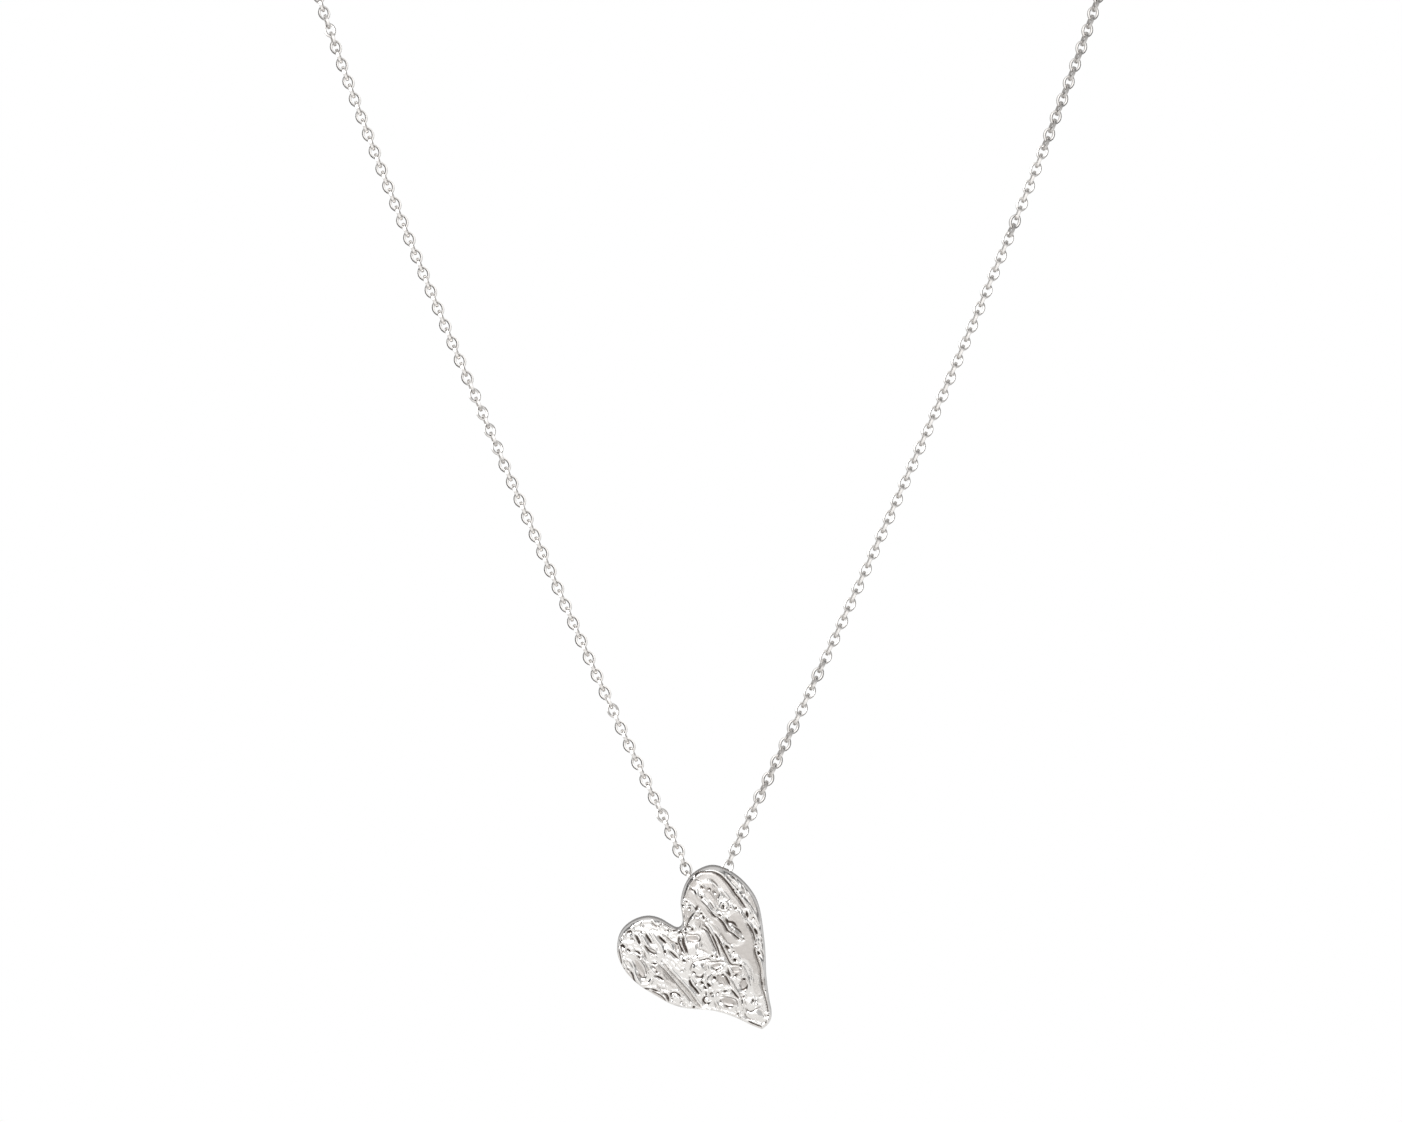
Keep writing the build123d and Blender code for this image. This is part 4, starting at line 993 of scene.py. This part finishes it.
def mark_face(mesh, sizes):
    """Writes the painted shade in the creases and along the edge, the satin grey with its painted
    shade, and how grainy each point of the face is.
    """
    places = np.empty(len(mesh.vertices) * 3)
    mesh.vertices.foreach_get("co", places)
    places = places.reshape(-1, 3)
    height = back_depth(sizes) - places[:, 1]
    proud = np.minimum(height, sizes.body + sizes.dome)
    dark, grey, grain = chart_reading(places[:, 0], places[:, 2], proud, sizes)[1:]
    inset = edge_distance(places[:, 0], places[:, 2], heart_edge_line(sizes))
    square = sizes.height / (CHART_BOTTOM - CHART_TOP)
    # A thin band along the edge gets a painted shade.
    skin_and_edge_shade = 1 - np.clip(inset / (EDGE_SHADE_WIDTH * square), 0, 1)
    dark = np.maximum(dark, EDGE_SHADE_DARK * skin_and_edge_shade)
    # The plate's back and the bail stay plain.
    front = (height > BACK_MARGIN * sizes.edge) & (inset > -PAST_EDGE * square)
    for name, values in (("painted_shade", dark), ("satin_and_shade", grey), ("grain", grain)):
        attribute = mesh.attributes.new(name, "FLOAT", "POINT")
        attribute.data.foreach_set("value", (values * front).astype(np.float32))


def empty_tree(owner):
    """The node tree of a new material or world, with no nodes in it."""
    owner.use_nodes = True
    owner.node_tree.nodes.clear()
    return owner.node_tree


def polished_cast_silver(silver):
    """Cast silver, rhodium plated. Bright on the high places, satin grey on the plates that the
    polishing wheel didn't reach, grey with painted shade beside the creases and in the hollows,
    and dark with painted shade in the creases and along the edge."""
    material = bpy.data.materials.new("polished_cast_silver")
    tree = empty_tree(material)
    place = add_node(tree, "ShaderNodeTexCoord").outputs["Object"]
    painted_shade_at, satin_and_shade_at, grain_at = (
        add_node(tree, "ShaderNodeAttribute", {"attribute_name": mark}).outputs["Fac"]
        for mark in ("painted_shade", "satin_and_shade", "grain")
    )
    # The skin of the casting has grains about 0.25 mm across.
    skin_and_edge_shade = add_node(tree, "ShaderNodeTexNoise", None, {
        "Vector": place, "Scale": 1 / (0.25 * MM), "Detail": 3.0, "Roughness": 0.6,
    }).outputs["Fac"]
    # The wheel leaves broad, soft waves about 2 mm across.
    waves = add_node(tree, "ShaderNodeTexNoise", None, {
        "Vector": place, "Scale": 1 / (2.0 * MM), "Detail": 1.0,
    }).outputs["Fac"]
    mottled = add_node(tree, "ShaderNodeMapRange", None, {
        "Value": skin_and_edge_shade, 1: 0.35, 2: 0.65, 3: 0.0, 4: 1.0,
    }).outputs["Result"]
    speckle = add_node(tree, "ShaderNodeMath", {"operation": "MULTIPLY"}, {
        0: mottled, 1: grain_at,
    }).outputs[0]
    greyness = add_node(tree, "ShaderNodeMath", {"operation": "MULTIPLY_ADD", "use_clamp": True}, {
        0: speckle, 1: 0.5, 2: satin_and_shade_at,
    }).outputs[0]
    ground = add_node(tree, "ShaderNodeMix", {"data_type": "RGBA"}, {
        "Factor": greyness, 6: (*silver.polished, 1), 7: (*silver.satin_and_shade, 1),
    }).outputs[2]
    # Painted shade darkens the creases and the edge towards its own colour.
    depth = add_node(tree, "ShaderNodeMapRange", {"interpolation_type": "SMOOTHSTEP"}, {
        "Value": painted_shade_at, 1: 0.15, 2: 0.75, 3: 0.0, 4: 1.0,
    }).outputs["Result"]
    tone = add_node(tree, "ShaderNodeMix", {"data_type": "RGBA"}, {
        "Factor": depth, 6: ground, 7: (*silver.painted_shade_tone, 1),
    }).outputs[2]
    roughness = add_node(tree, "ShaderNodeMapRange", None, {
        "Value": greyness, 1: 0.0, 2: 1.0, 3: 0.15, 4: 0.34,
    }).outputs["Result"]
    dimples = add_node(tree, "ShaderNodeMath", {"operation": "MULTIPLY"}, {
        0: skin_and_edge_shade, 1: greyness,
    }).outputs[0]
    relief = add_node(tree, "ShaderNodeMath", {"operation": "MULTIPLY_ADD"}, {
        0: waves, 1: 3.0, 2: dimples,
    }).outputs[0]
    normal = add_node(tree, "ShaderNodeBump", None, {
        "Height": relief, "Strength": 0.5, "Distance": 0.05 * MM,
    }).outputs["Normal"]
    shader = add_node(tree, "ShaderNodeBsdfPrincipled", None, {
        "Base Color": tone, "Roughness": roughness, "Normal": normal, "Metallic": 1.0,
    })
    add_node(tree, "ShaderNodeOutputMaterial", None, {"Surface": shader.outputs[0]})
    return material


def drawn_silver_wire(silver):
    """Drawn silver wire, tumbled after soldering. Bright, with faint soft mottling where the
    tumbling media struck it."""
    material = bpy.data.materials.new("drawn_silver_wire")
    tree = empty_tree(material)
    place = add_node(tree, "ShaderNodeTexCoord").outputs["Object"]
    # Marks of the tumbling media are about 0.4 mm across.
    marks = add_node(tree, "ShaderNodeTexNoise", None, {
        "Vector": place, "Scale": 1 / (0.4 * MM), "Detail": 2.0,
    }).outputs["Fac"]
    roughness = add_node(tree, "ShaderNodeMapRange", None, {
        "Value": marks, 1: 0.3, 2: 0.7, 3: 0.24, 4: 0.36,
    }).outputs["Result"]
    normal = add_node(tree, "ShaderNodeBump", None, {
        "Height": marks, "Strength": 0.2, "Distance": 0.02 * MM,
    }).outputs["Normal"]
    shader = add_node(tree, "ShaderNodeBsdfPrincipled", None, {
        "Base Color": (*silver.wire, 1), "Roughness": roughness, "Normal": normal,
        "Metallic": 1.0,
    })
    add_node(tree, "ShaderNodeOutputMaterial", None, {"Surface": shader.outputs[0]})
    return material


def white_lacquered_board(silver):
    """Board with matt white lacquer, which only gives the eye a pale, even ground."""
    material = bpy.data.materials.new("white_lacquered_board")
    tree = empty_tree(material)
    shader = add_node(tree, "ShaderNodeBsdfPrincipled", None, {
        "Base Color": (*silver.floor, 1), "Roughness": 0.7,
    })
    add_node(tree, "ShaderNodeOutputMaterial", None, {"Surface": shader.outputs[0]})
    return material


class PENDANT_OT_heart(bpy.types.Operator):
    """Make the cast heart with its bail"""

    bl_idname = "pendant.heart"
    bl_label = "Cast Heart"

    def execute(self, context):
        sizes = context.scene.pendant_heart
        heart = link_object("cast_heart", plate_mesh(sizes))
        tube = link_object("bail_tube", bail_mesh(sizes))
        outward(tube.data)
        outward(heart.data)
        join = heart.modifiers.new("solder", "BOOLEAN")
        join.operation = "UNION"
        join.solver = "MANIFOLD"
        join.object = tube
        settle(heart)
        bpy.data.objects.remove(tube)
        mesh = heart.data
        mark_face(mesh, sizes)
        mesh.shade_smooth()
        flatten_back(mesh, sizes)
        hang = Matrix.Translation(bail_place) @ Matrix.Rotation(sizes.tilt, 4, "X")
        mesh.transform(hang)
        mesh.materials.clear()
        mesh.materials.append(polished_cast_silver(context.scene.pendant_silver))
        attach(heart, "pendant")
        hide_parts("heart")
        return {"FINISHED"}


def route_points():
    """The chain's route in metres, from its left end at the nape round to its right end."""
    left = [(point.x_left, point.y, point.z) for point in reversed(CHAIN_ROUTE)]
    right = [(point.x_right, point.y, point.z) for point in CHAIN_ROUTE]
    middle = bail_place / MM
    bend = [
        (middle.x + side * BAIL_BEND, middle.y, middle.z + lift)
        for side, lift in zip((-1, 1), BAIL_LIFT)
    ]
    ends = [(side * CHAIN_END, NAPE_DEPTH, 0.0) for side in (-1, 1)]
    return [Vector(point) * MM for point in ends[:1] + left + bend + right + ends[1:]]


ROUTE_STEPS = 24            # points of the smooth line for each point of the route


def route_line():
    """Points along the smooth line of the chain's route."""
    curve = bpy.data.curves.new("chain_route", "CURVE")
    curve.dimensions = "3D"
    curve.resolution_u = ROUTE_STEPS
    spline = curve.splines.new("NURBS")
    points = route_points()
    spline.points.add(len(points) - 1)
    for point, place in zip(spline.points, points):
        point.co = (*place, 1.0)
    spline.order_u = 3
    spline.use_endpoint_u = True
    guide = link_object("chain_route", curve)
    depsgraph = bpy.context.evaluated_depsgraph_get()
    mesh = bpy.data.meshes.new_from_object(guide.evaluated_get(depsgraph))
    line = [vertex.co.copy() for vertex in mesh.vertices]
    bpy.data.meshes.remove(mesh)
    bpy.data.objects.remove(guide)
    bpy.data.curves.remove(curve)
    return line


FRONT_DEPTH = -28.0 * MM    # the strands hang in front of this, and the rest lies on the neck


def face_directions(line):
    """The way each point's flat links face: towards the viewer down the front, and carried
    on from there round the neck without twisting."""
    tangents = [(b - a).normalized() for a, b in zip(line, line[1:])]
    tangents.append(tangents[-1])
    to_viewer = Vector((0, -1, 0))
    facing = [(to_viewer - to_viewer.dot(t) * t).normalized() for t in tangents]
    middle = min(range(len(line)), key=lambda index: (line[index] - bail_place).length)
    for way in (-1, 1):
        index = middle
        while 0 <= index + way < len(line):
            if line[index + way].y > FRONT_DEPTH:
                turn = tangents[index].rotation_difference(tangents[index + way])
                facing[index + way] = (turn @ facing[index]).normalized()
            index += way
    return facing


def twist_at(place):
    """How far the links at a place are turned, where a stretch of TWISTS holds it."""
    level = place.z / MM
    for twist in TWISTS:
        if twist.side * place.x > 0 and place.y < 0 and twist.low <= level <= twist.high:
            return math.radians(twist.turn) * twist.side
    return 0.0


LINK_PLAY = 0.22 * MM       # room between two hooked links
POINTED = 0.14              # share by which a link narrows at its two ends
SQUARED = 0.45              # share by which the side corners of its wire stand further out
SHARP_ANGLE = math.radians(28)      # edges of the chain that are sharper than this stay so
SHORTEST_END = 0.0001 * MM          # what the first link keeps of the route before it


def squeezed(tree, curve, share, reach):
    """A flat curve made wider by a share, or narrower, at a reach to both sides of its
    middle, and less so the nearer a point is to the middle."""
    place = add_node(tree, "GeometryNodeInputPosition").outputs[0]
    parts = add_node(tree, "ShaderNodeSeparateXYZ", None, {0: place}).outputs
    square = add_node(tree, "ShaderNodeMath", {"operation": "MULTIPLY"}, {
        0: parts["X"], 1: parts["X"],
    }).outputs[0]
    factor = add_node(tree, "ShaderNodeMath", {"operation": "MULTIPLY_ADD"}, {
        0: square, 1: share / reach ** 2, 2: 1.0,
    }).outputs[0]
    width = add_node(tree, "ShaderNodeMath", {"operation": "MULTIPLY"}, {
        0: parts["Y"], 1: factor,
    }).outputs[0]
    new_place = add_node(tree, "ShaderNodeCombineXYZ", None, {
        "X": parts["X"], "Y": width, "Z": 0.0,
    }).outputs[0]
    return add_node(tree, "GeometryNodeSetPosition", None, {
        "Geometry": curve.outputs[0], "Position": new_place,
    }).outputs[0]


def link_tree():
    """Node tree that sets one oval wire link after another along a line."""
    tree = bpy.data.node_groups.new("Chain Links", "GeometryNodeTree")
    face = tree.interface
    face.new_socket("Geometry", in_out="INPUT", socket_type="NodeSocketGeometry")
    for name, kind in (
        ("Wire", "NodeSocketFloat"), ("Breadth", "NodeSocketFloat"),
        ("Link Length", "NodeSocketFloat"), ("Link Width", "NodeSocketFloat"),
        ("Link Turn", "NodeSocketFloat"), ("End Room", "NodeSocketFloat"),
        ("Link Count", "NodeSocketInt"), ("Link Sides", "NodeSocketInt"),
        ("Wire Sides", "NodeSocketInt"), ("Silver", "NodeSocketMaterial"),
    ):
        face.new_socket(name, in_out="INPUT", socket_type=kind)
    face.new_socket("Geometry", in_out="OUTPUT", socket_type="NodeSocketGeometry")
    given = add_node(tree, "NodeGroupInput").outputs

    line = add_node(tree, "GeometryNodeMeshToCurve", None, {"Mesh": given["Geometry"]})
    whole = add_node(tree, "GeometryNodeCurveLength", None, {"Curve": line.outputs[0]})
    last = add_node(tree, "ShaderNodeMath", {"operation": "SUBTRACT"}, {
        0: whole.outputs[0], 1: given["End Room"],
    })
    used = add_node(tree, "GeometryNodeTrimCurve", {"mode": "LENGTH"}, {
        "Curve": line.outputs[0], "Start_001": given["End Room"], "End_001": last.outputs[0],
    })
    points = add_node(tree, "GeometryNodeCurveToPoints", {"mode": "COUNT"}, {
        "Curve": used.outputs[0], "Count": given["Link Count"],
    })
    along = add_node(tree, "FunctionNodeAlignRotationToVector", {"axis": "X"}, {
        "Vector": points.outputs["Tangent"],
    })
    facing = add_node(tree, "GeometryNodeInputNamedAttribute", {"data_type": "FLOAT_VECTOR"}, {
        "Name": "facing",
    })
    faced = add_node(tree, "FunctionNodeAlignRotationToVector", {"axis": "Z", "pivot_axis": "X"}, {
        "Rotation": along.outputs[0], "Vector": facing.outputs[0],
    })
    twist = add_node(tree, "GeometryNodeInputNamedAttribute", {"data_type": "FLOAT"}, {
        "Name": "twist",
    })
    # Every second link is turned from its neighbours.
    number = add_node(tree, "GeometryNodeInputIndex")
    odd = add_node(tree, "ShaderNodeMath", {"operation": "MODULO"}, {
        0: number.outputs[0], 1: 2.0,
    })
    roll = add_node(tree, "ShaderNodeMath", {"operation": "MULTIPLY_ADD"}, {
        0: odd.outputs[0], 1: given["Link Turn"], 2: twist.outputs[0],
    })
    euler = add_node(tree, "ShaderNodeCombineXYZ", None, {"X": roll.outputs[0]})
    spin = add_node(tree, "FunctionNodeEulerToRotation", None, {0: euler.outputs[0]})
    rolled = add_node(tree, "FunctionNodeRotateRotation", {"rotation_space": "LOCAL"}, {
        "Rotation": faced.outputs[0], "Rotate By": spin.outputs[0],
    })
    # The link and its section both start as a circle of this radius and are stretched.
    radius = 0.5
    circle = add_node(tree, "GeometryNodeCurvePrimitiveCircle", None, {
        "Resolution": given["Link Sides"], "Radius": radius,
    })
    pointed = squeezed(tree, circle, -POINTED, radius)
    # The middle of the wire runs half a wire inside the link's outer size.
    outer = add_node(tree, "ShaderNodeCombineXYZ", None, {
        "X": given["Link Length"], "Y": given["Link Width"], "Z": 1.0,
    })
    inset = add_node(tree, "ShaderNodeCombineXYZ", None, {"X": given["Wire"], "Y": given["Wire"]})
    stretch = add_node(tree, "ShaderNodeVectorMath", {"operation": "SUBTRACT"}, {
        0: outer.outputs[0], 1: inset.outputs[0],
    })
    oval = add_node(tree, "GeometryNodeTransform", None, {
        "Geometry": pointed, "Scale": stretch.outputs[0],
    })
    section = add_node(tree, "GeometryNodeCurvePrimitiveCircle", None, {
        "Resolution": given["Wire Sides"], "Radius": radius,
    })
    # The six-sided section stands with its flats inwards and outwards. They are nearer to
    # each other than its corners are.
    upright = add_node(tree, "GeometryNodeTransform", None, {
        "Geometry": section.outputs[0], "Rotation": (0, 0, math.pi / 6),
    })
    flats = math.cos(math.pi / 6)
    squared = squeezed(tree, upright, SQUARED, radius * flats)
    thickness = add_node(tree, "ShaderNodeMath", {"operation": "DIVIDE"}, {
        0: given["Wire"], 1: flats,
    })
    flatten = add_node(tree, "ShaderNodeCombineXYZ", None, {
        "X": thickness.outputs[0], "Y": given["Breadth"], "Z": 1.0,
    })
    flattened = add_node(tree, "GeometryNodeTransform", None, {
        "Geometry": squared, "Scale": flatten.outputs[0],
    })
    link = add_node(tree, "GeometryNodeCurveToMesh", None, {
        "Curve": oval.outputs[0], "Profile Curve": flattened.outputs[0],
    })
    links = add_node(tree, "GeometryNodeInstanceOnPoints", None, {
        "Points": points.outputs[0], "Instance": link.outputs[0],
        "Rotation": rolled.outputs[0],
    })
    real = add_node(tree, "GeometryNodeRealizeInstances", None, {"Geometry": links.outputs[0]})
    finish = add_node(tree, "GeometryNodeSetMaterial", None, {
        "Geometry": real.outputs[0], "Material": given["Silver"],
    })
    add_node(tree, "NodeGroupOutput", None, {"Geometry": finish.outputs[0]})
    return tree


def set_inputs(modifier, values):
    """Sets a Geometry Nodes modifier's inputs by the names of its sockets."""
    for socket in modifier.node_group.interface.items_tree:
        if socket.item_type == "SOCKET" and socket.in_out == "INPUT" and socket.name in values:
            modifier[socket.identifier] = values[socket.name]


EYE_SIDES = 20              # corners round an eye
EYE_WIRE_SIDES = 8          # and round its wire


def add_eye(mesh, centre, outer, wire):
    """Adds a round wire ring in the XZ plane to a mesh."""
    work = bmesh.new()
    work.from_mesh(mesh)
    rings = []
    for step in range(EYE_SIDES):
        turn = 2 * math.pi * step / EYE_SIDES
        ring = []
        for side in range(EYE_WIRE_SIDES):
            around = 2 * math.pi * side / EYE_WIRE_SIDES
            radius = outer / 2 - wire / 2 + wire / 2 * math.cos(around)
            depth = wire / 2 * math.sin(around)
            offset = Vector((radius * math.cos(turn), depth, radius * math.sin(turn)))
            ring.append(work.verts.new(centre + offset))
        rings.append(ring)
    for here, there in zip(rings, rings[1:] + rings[:1]):
        for side in range(EYE_WIRE_SIDES):
            after = (side + 1) % EYE_WIRE_SIDES
            work.faces.new((here[side], there[side], there[after], here[after]))
    work.to_mesh(mesh)
    work.free()


class PENDANT_OT_chain(bpy.types.Operator):
    """Make the cable chain, link by link, with the eye at each end"""

    bl_idname = "pendant.chain"
    bl_label = "Cable Chain"

    def execute(self, context):
        sizes = context.scene.pendant_chain
        material = drawn_silver_wire(context.scene.pendant_silver)
        line = route_line()
        mesh = bpy.data.meshes.new("chain_links")
        mesh.from_pydata(line, [(i, i + 1) for i in range(len(line) - 1)], [])
        facing = mesh.attributes.new("facing", "FLOAT_VECTOR", "POINT")
        facing.data.foreach_set("vector", [v for d in face_directions(line) for v in d])
        twist = mesh.attributes.new("twist", "FLOAT", "POINT")
        twist.data.foreach_set("value", [sizes.roll + twist_at(place) for place in line])
        chain = link_object("chain_links", mesh)

        # The first link's wire lies against the inside of the eye.
        eye_inside = EYE_PLACE * MM + sizes.eye_outer / 2 - sizes.eye_wire
        first_middle = eye_inside - sizes.wire + sizes.link_length / 2
        end_room = max(first_middle - CHAIN_END * MM, SHORTEST_END)
        used = sum((b - a).length for a, b in zip(line, line[1:])) - 2 * end_room
        pitch = sizes.link_length - 2 * sizes.wire - LINK_PLAY
        # The link in the bail is turned and the ones in the two eyes lie flat, so the number
        # of links is three more than a multiple of four.
        count = 4 * round((used / pitch - 2) / 4) + 3
        nodes = chain.modifiers.new("links", "NODES")
        nodes.node_group = link_tree()
        set_inputs(nodes, {
            "Wire": sizes.wire, "Breadth": sizes.breadth, "Link Length": sizes.link_length,
            "Link Width": sizes.link_width, "Link Turn": sizes.link_turn,
            "End Room": end_room, "Link Count": count, "Link Sides": sizes.link_sides,
            "Wire Sides": sizes.wire_sides, "Silver": material,
        })
        settle(chain)
        for side in (-1, 1):
            centre = Vector((side * EYE_PLACE, NAPE_DEPTH, 0)) * MM
            add_eye(chain.data, centre, sizes.eye_outer, sizes.eye_wire)
        outward(chain.data)
        chain.data.shade_smooth()
        chain.data.set_sharp_from_angle(angle=SHARP_ANGLE)
        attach(chain, "necklace")
        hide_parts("chain")
        return {"FINISHED"}


class PENDANT_OT_clasp(bpy.types.Operator):
    """Give the spring ring and its two rings their finish"""

    bl_idname = "pendant.clasp"
    bl_label = "Clasp and Rings"

    def execute(self, context):
        material = drawn_silver_wire(context.scene.pendant_silver)
        for name in ("clasp", "clasp_ring", "end_ring"):
            node = frame["nodes"][name]
            node.data.materials.clear()
            node.data.materials.append(material)
        return {"FINISHED"}


# The photograph's frame: its width in pixels, and how large a pixel is at the bail's depth.
FRAME_WIDTH = 1402
PIXEL = 0.12 * MM
CAMERA_PLACE = Vector((-0.9, -1000.0, -92.3)) * MM
SENSOR = 36.0
NEAREST, FURTHEST = 0.01, 20.0      # what the camera sees, in metres

FLOOR_LEVEL = -178.0 * MM
FLOOR_RADIUS = 150.0 * MM
FLOOR_THICKNESS = 6.0 * MM
FLOOR_EDGE = 2.0 * MM
FLOOR_SIDES = 96

# Soft boxes: name, place and width in metres and power in watts. They face the strands.
SoftBox = namedtuple("SoftBox", "name place width power")
SOFT_BOXES = [
    SoftBox("key_softbox", (-0.45, -0.75, 0.45), 0.5, 5.0),
    SoftBox("fill_softbox", (0.5, -0.7, 0.1), 1.1, 1.7),
]
LIT_LEVEL = 0.7             # the level that they face, as a share of the bail's


def add_soft_box(soft_box):
    """A square area light that faces the middle of the strands."""
    light = bpy.data.lights.new(soft_box.name, "AREA")
    light.shape = "SQUARE"
    light.size = soft_box.width
    light.energy = soft_box.power
    box = link_object(soft_box.name, light)
    box.location = soft_box.place
    target = Vector((0.0, bail_place.y, LIT_LEVEL * bail_place.z))
    box.rotation_euler = (target - box.location).to_track_quat("-Z", "Y").to_euler()


# The tent's shades: the axis along which each one changes, from where to where, and its
# level or share at the two ends.
Shade = namedtuple("Shade", "axis start end low high")
TENT = {
    "ring": Shade("Y", -0.98, -0.86, 1.05, 1.5),        # brightest in a ring round the camera
    "dimming": Shade("Y", -0.80, -0.50, 0.0, 1.0),      # from there to its sides
    "aside": Shade("X", 0.25, 0.60, 0.0, 1.0),          # a dark card on the left and right
    "behind": Shade("Y", -0.20, 0.35, 0.0, 1.0),        # in its own shade behind the silver
}
TENT_SIDES, CARD, TENT_BACK = 0.80, 0.07, 0.60      # the levels that the shares lead to
BACKDROP = 1.0              # what the camera itself sees of the tent


def studio_world():
    """A white tent that is brightest round the camera, with a dark card on either side."""
    world = bpy.data.worlds.new("white_tent")
    bpy.context.scene.world = world
    tree = empty_tree(world)
    way = add_node(tree, "ShaderNodeTexCoord").outputs["Generated"]
    parts = add_node(tree, "ShaderNodeSeparateXYZ", None, {0: way}).outputs
    sideways = add_node(tree, "ShaderNodeMath", {"operation": "ABSOLUTE"}, {0: parts["X"]})
    axes = {"X": sideways.outputs[0], "Y": parts["Y"]}
    shades = {
        name: add_node(tree, "ShaderNodeMapRange", {"interpolation_type": "SMOOTHSTEP"}, {
            0: axes[shade.axis], 1: shade.start, 2: shade.end, 3: shade.low, 4: shade.high,
        }).outputs["Result"]
        for name, shade in TENT.items()
    }
    seen = add_node(tree, "ShaderNodeLightPath").outputs["Is Camera Ray"]
    level = shades["ring"]
    for share, inside in (
        (shades["dimming"], TENT_SIDES), (shades["aside"], CARD), (shades["behind"], TENT_BACK),
        (seen, BACKDROP),
    ):
        level = add_node(tree, "ShaderNodeMix", {"data_type": "FLOAT"}, {
            "Factor": share, "A": level, "B": inside,
        }).outputs[0]
    light = add_node(tree, "ShaderNodeBackground", None, {
        "Color": (1.0, 1.0, 1.0, 1.0), "Strength": level,
    })
    add_node(tree, "ShaderNodeOutputWorld", None, {"Surface": light.outputs[0]})


def pale_floor(material):
    """A round, pale floor below the heart, with a softened edge."""
    work = bmesh.new()
    turns = [2 * math.pi * side / FLOOR_SIDES for side in range(FLOOR_SIDES)]
    profile = [
        (FLOOR_RADIUS - FLOOR_EDGE, FLOOR_LEVEL), (FLOOR_RADIUS, FLOOR_LEVEL - FLOOR_EDGE),
        (FLOOR_RADIUS, FLOOR_LEVEL - FLOOR_THICKNESS),
    ]
    rings = []
    for radius, level in profile:
        rings.append([
            work.verts.new((radius * math.cos(turn), radius * math.sin(turn), level))
            for turn in turns
        ])
    work.faces.new(rings[0])
    for upper, lower in zip(rings, rings[1:]):
        for side in range(FLOOR_SIDES):
            after = (side + 1) % FLOOR_SIDES
            work.faces.new((upper[after], upper[side], lower[side], lower[after]))
    work.faces.new(list(reversed(rings[-1])))
    mesh = bpy.data.meshes.new("pale_floor")
    work.to_mesh(mesh)
    work.free()
    mesh.materials.append(material)
    link_object("pale_floor", mesh)


class PENDANT_OT_stage(bpy.types.Operator):
    """Set the pale floor, the soft studio light and the camera"""

    bl_idname = "pendant.stage"
    bl_label = "Stage"

    def execute(self, context):
        scene = context.scene
        scene.view_settings.view_transform = "Standard"
        studio_world()
        pale_floor(white_lacquered_board(scene.pendant_silver))
        for soft_box in SOFT_BOXES:
            add_soft_box(soft_box)
        camera = link_object("camera", bpy.data.cameras.new("camera"))
        camera.data.sensor_width = SENSOR
        camera.data.clip_start = NEAREST
        camera.data.clip_end = FURTHEST
        distance = bail_place.y - CAMERA_PLACE.y
        camera.data.lens = SENSOR * distance / (FRAME_WIDTH * PIXEL)
        camera.location = CAMERA_PLACE
        camera.rotation_euler = (math.radians(90), 0.0, 0.0)
        scene.camera = camera
        return {"FINISHED"}


class PENDANT_PT_panel(bpy.types.Panel):
    """Lists the pieces and their sizes"""

    bl_idname = "PENDANT_PT_panel"
    bl_label = "Heart Pendant"
    bl_space_type = "VIEW_3D"
    bl_region_type = "UI"
    bl_category = "Heart Pendant"

    def draw(self, context):
        scene = context.scene
        sections = (
            ("pendant.heart", scene.pendant_heart),
            ("pendant.chain", scene.pendant_chain),
            ("pendant.clasp", None),
            ("pendant.stage", scene.pendant_silver),
        )
        for operator, group in sections:
            box = self.layout.box()
            box.operator(operator)
            for name in group.__annotations__ if group else ():
                box.prop(group, name)


CLASSES = (
    PendantHeart, PendantChain, PendantSilver, PENDANT_OT_heart, PENDANT_OT_chain,
    PENDANT_OT_clasp, PENDANT_OT_stage, PENDANT_PT_panel,
)


def register():
    for kind in CLASSES:
        bpy.utils.register_class(kind)
    bpy.types.Scene.pendant_heart = PointerProperty(type=PendantHeart)
    bpy.types.Scene.pendant_chain = PointerProperty(type=PendantChain)
    bpy.types.Scene.pendant_silver = PointerProperty(type=PendantSilver)


def unregister():
    del bpy.types.Scene.pendant_silver
    del bpy.types.Scene.pendant_chain
    del bpy.types.Scene.pendant_heart
    for kind in reversed(CLASSES):
        bpy.utils.unregister_class(kind)


def main():
    register()
    bpy.ops.pendant.stage()
    bpy.ops.pendant.chain()
    bpy.ops.pendant.clasp()
    bpy.ops.pendant.heart()


if __name__ == "__main__":
    main()
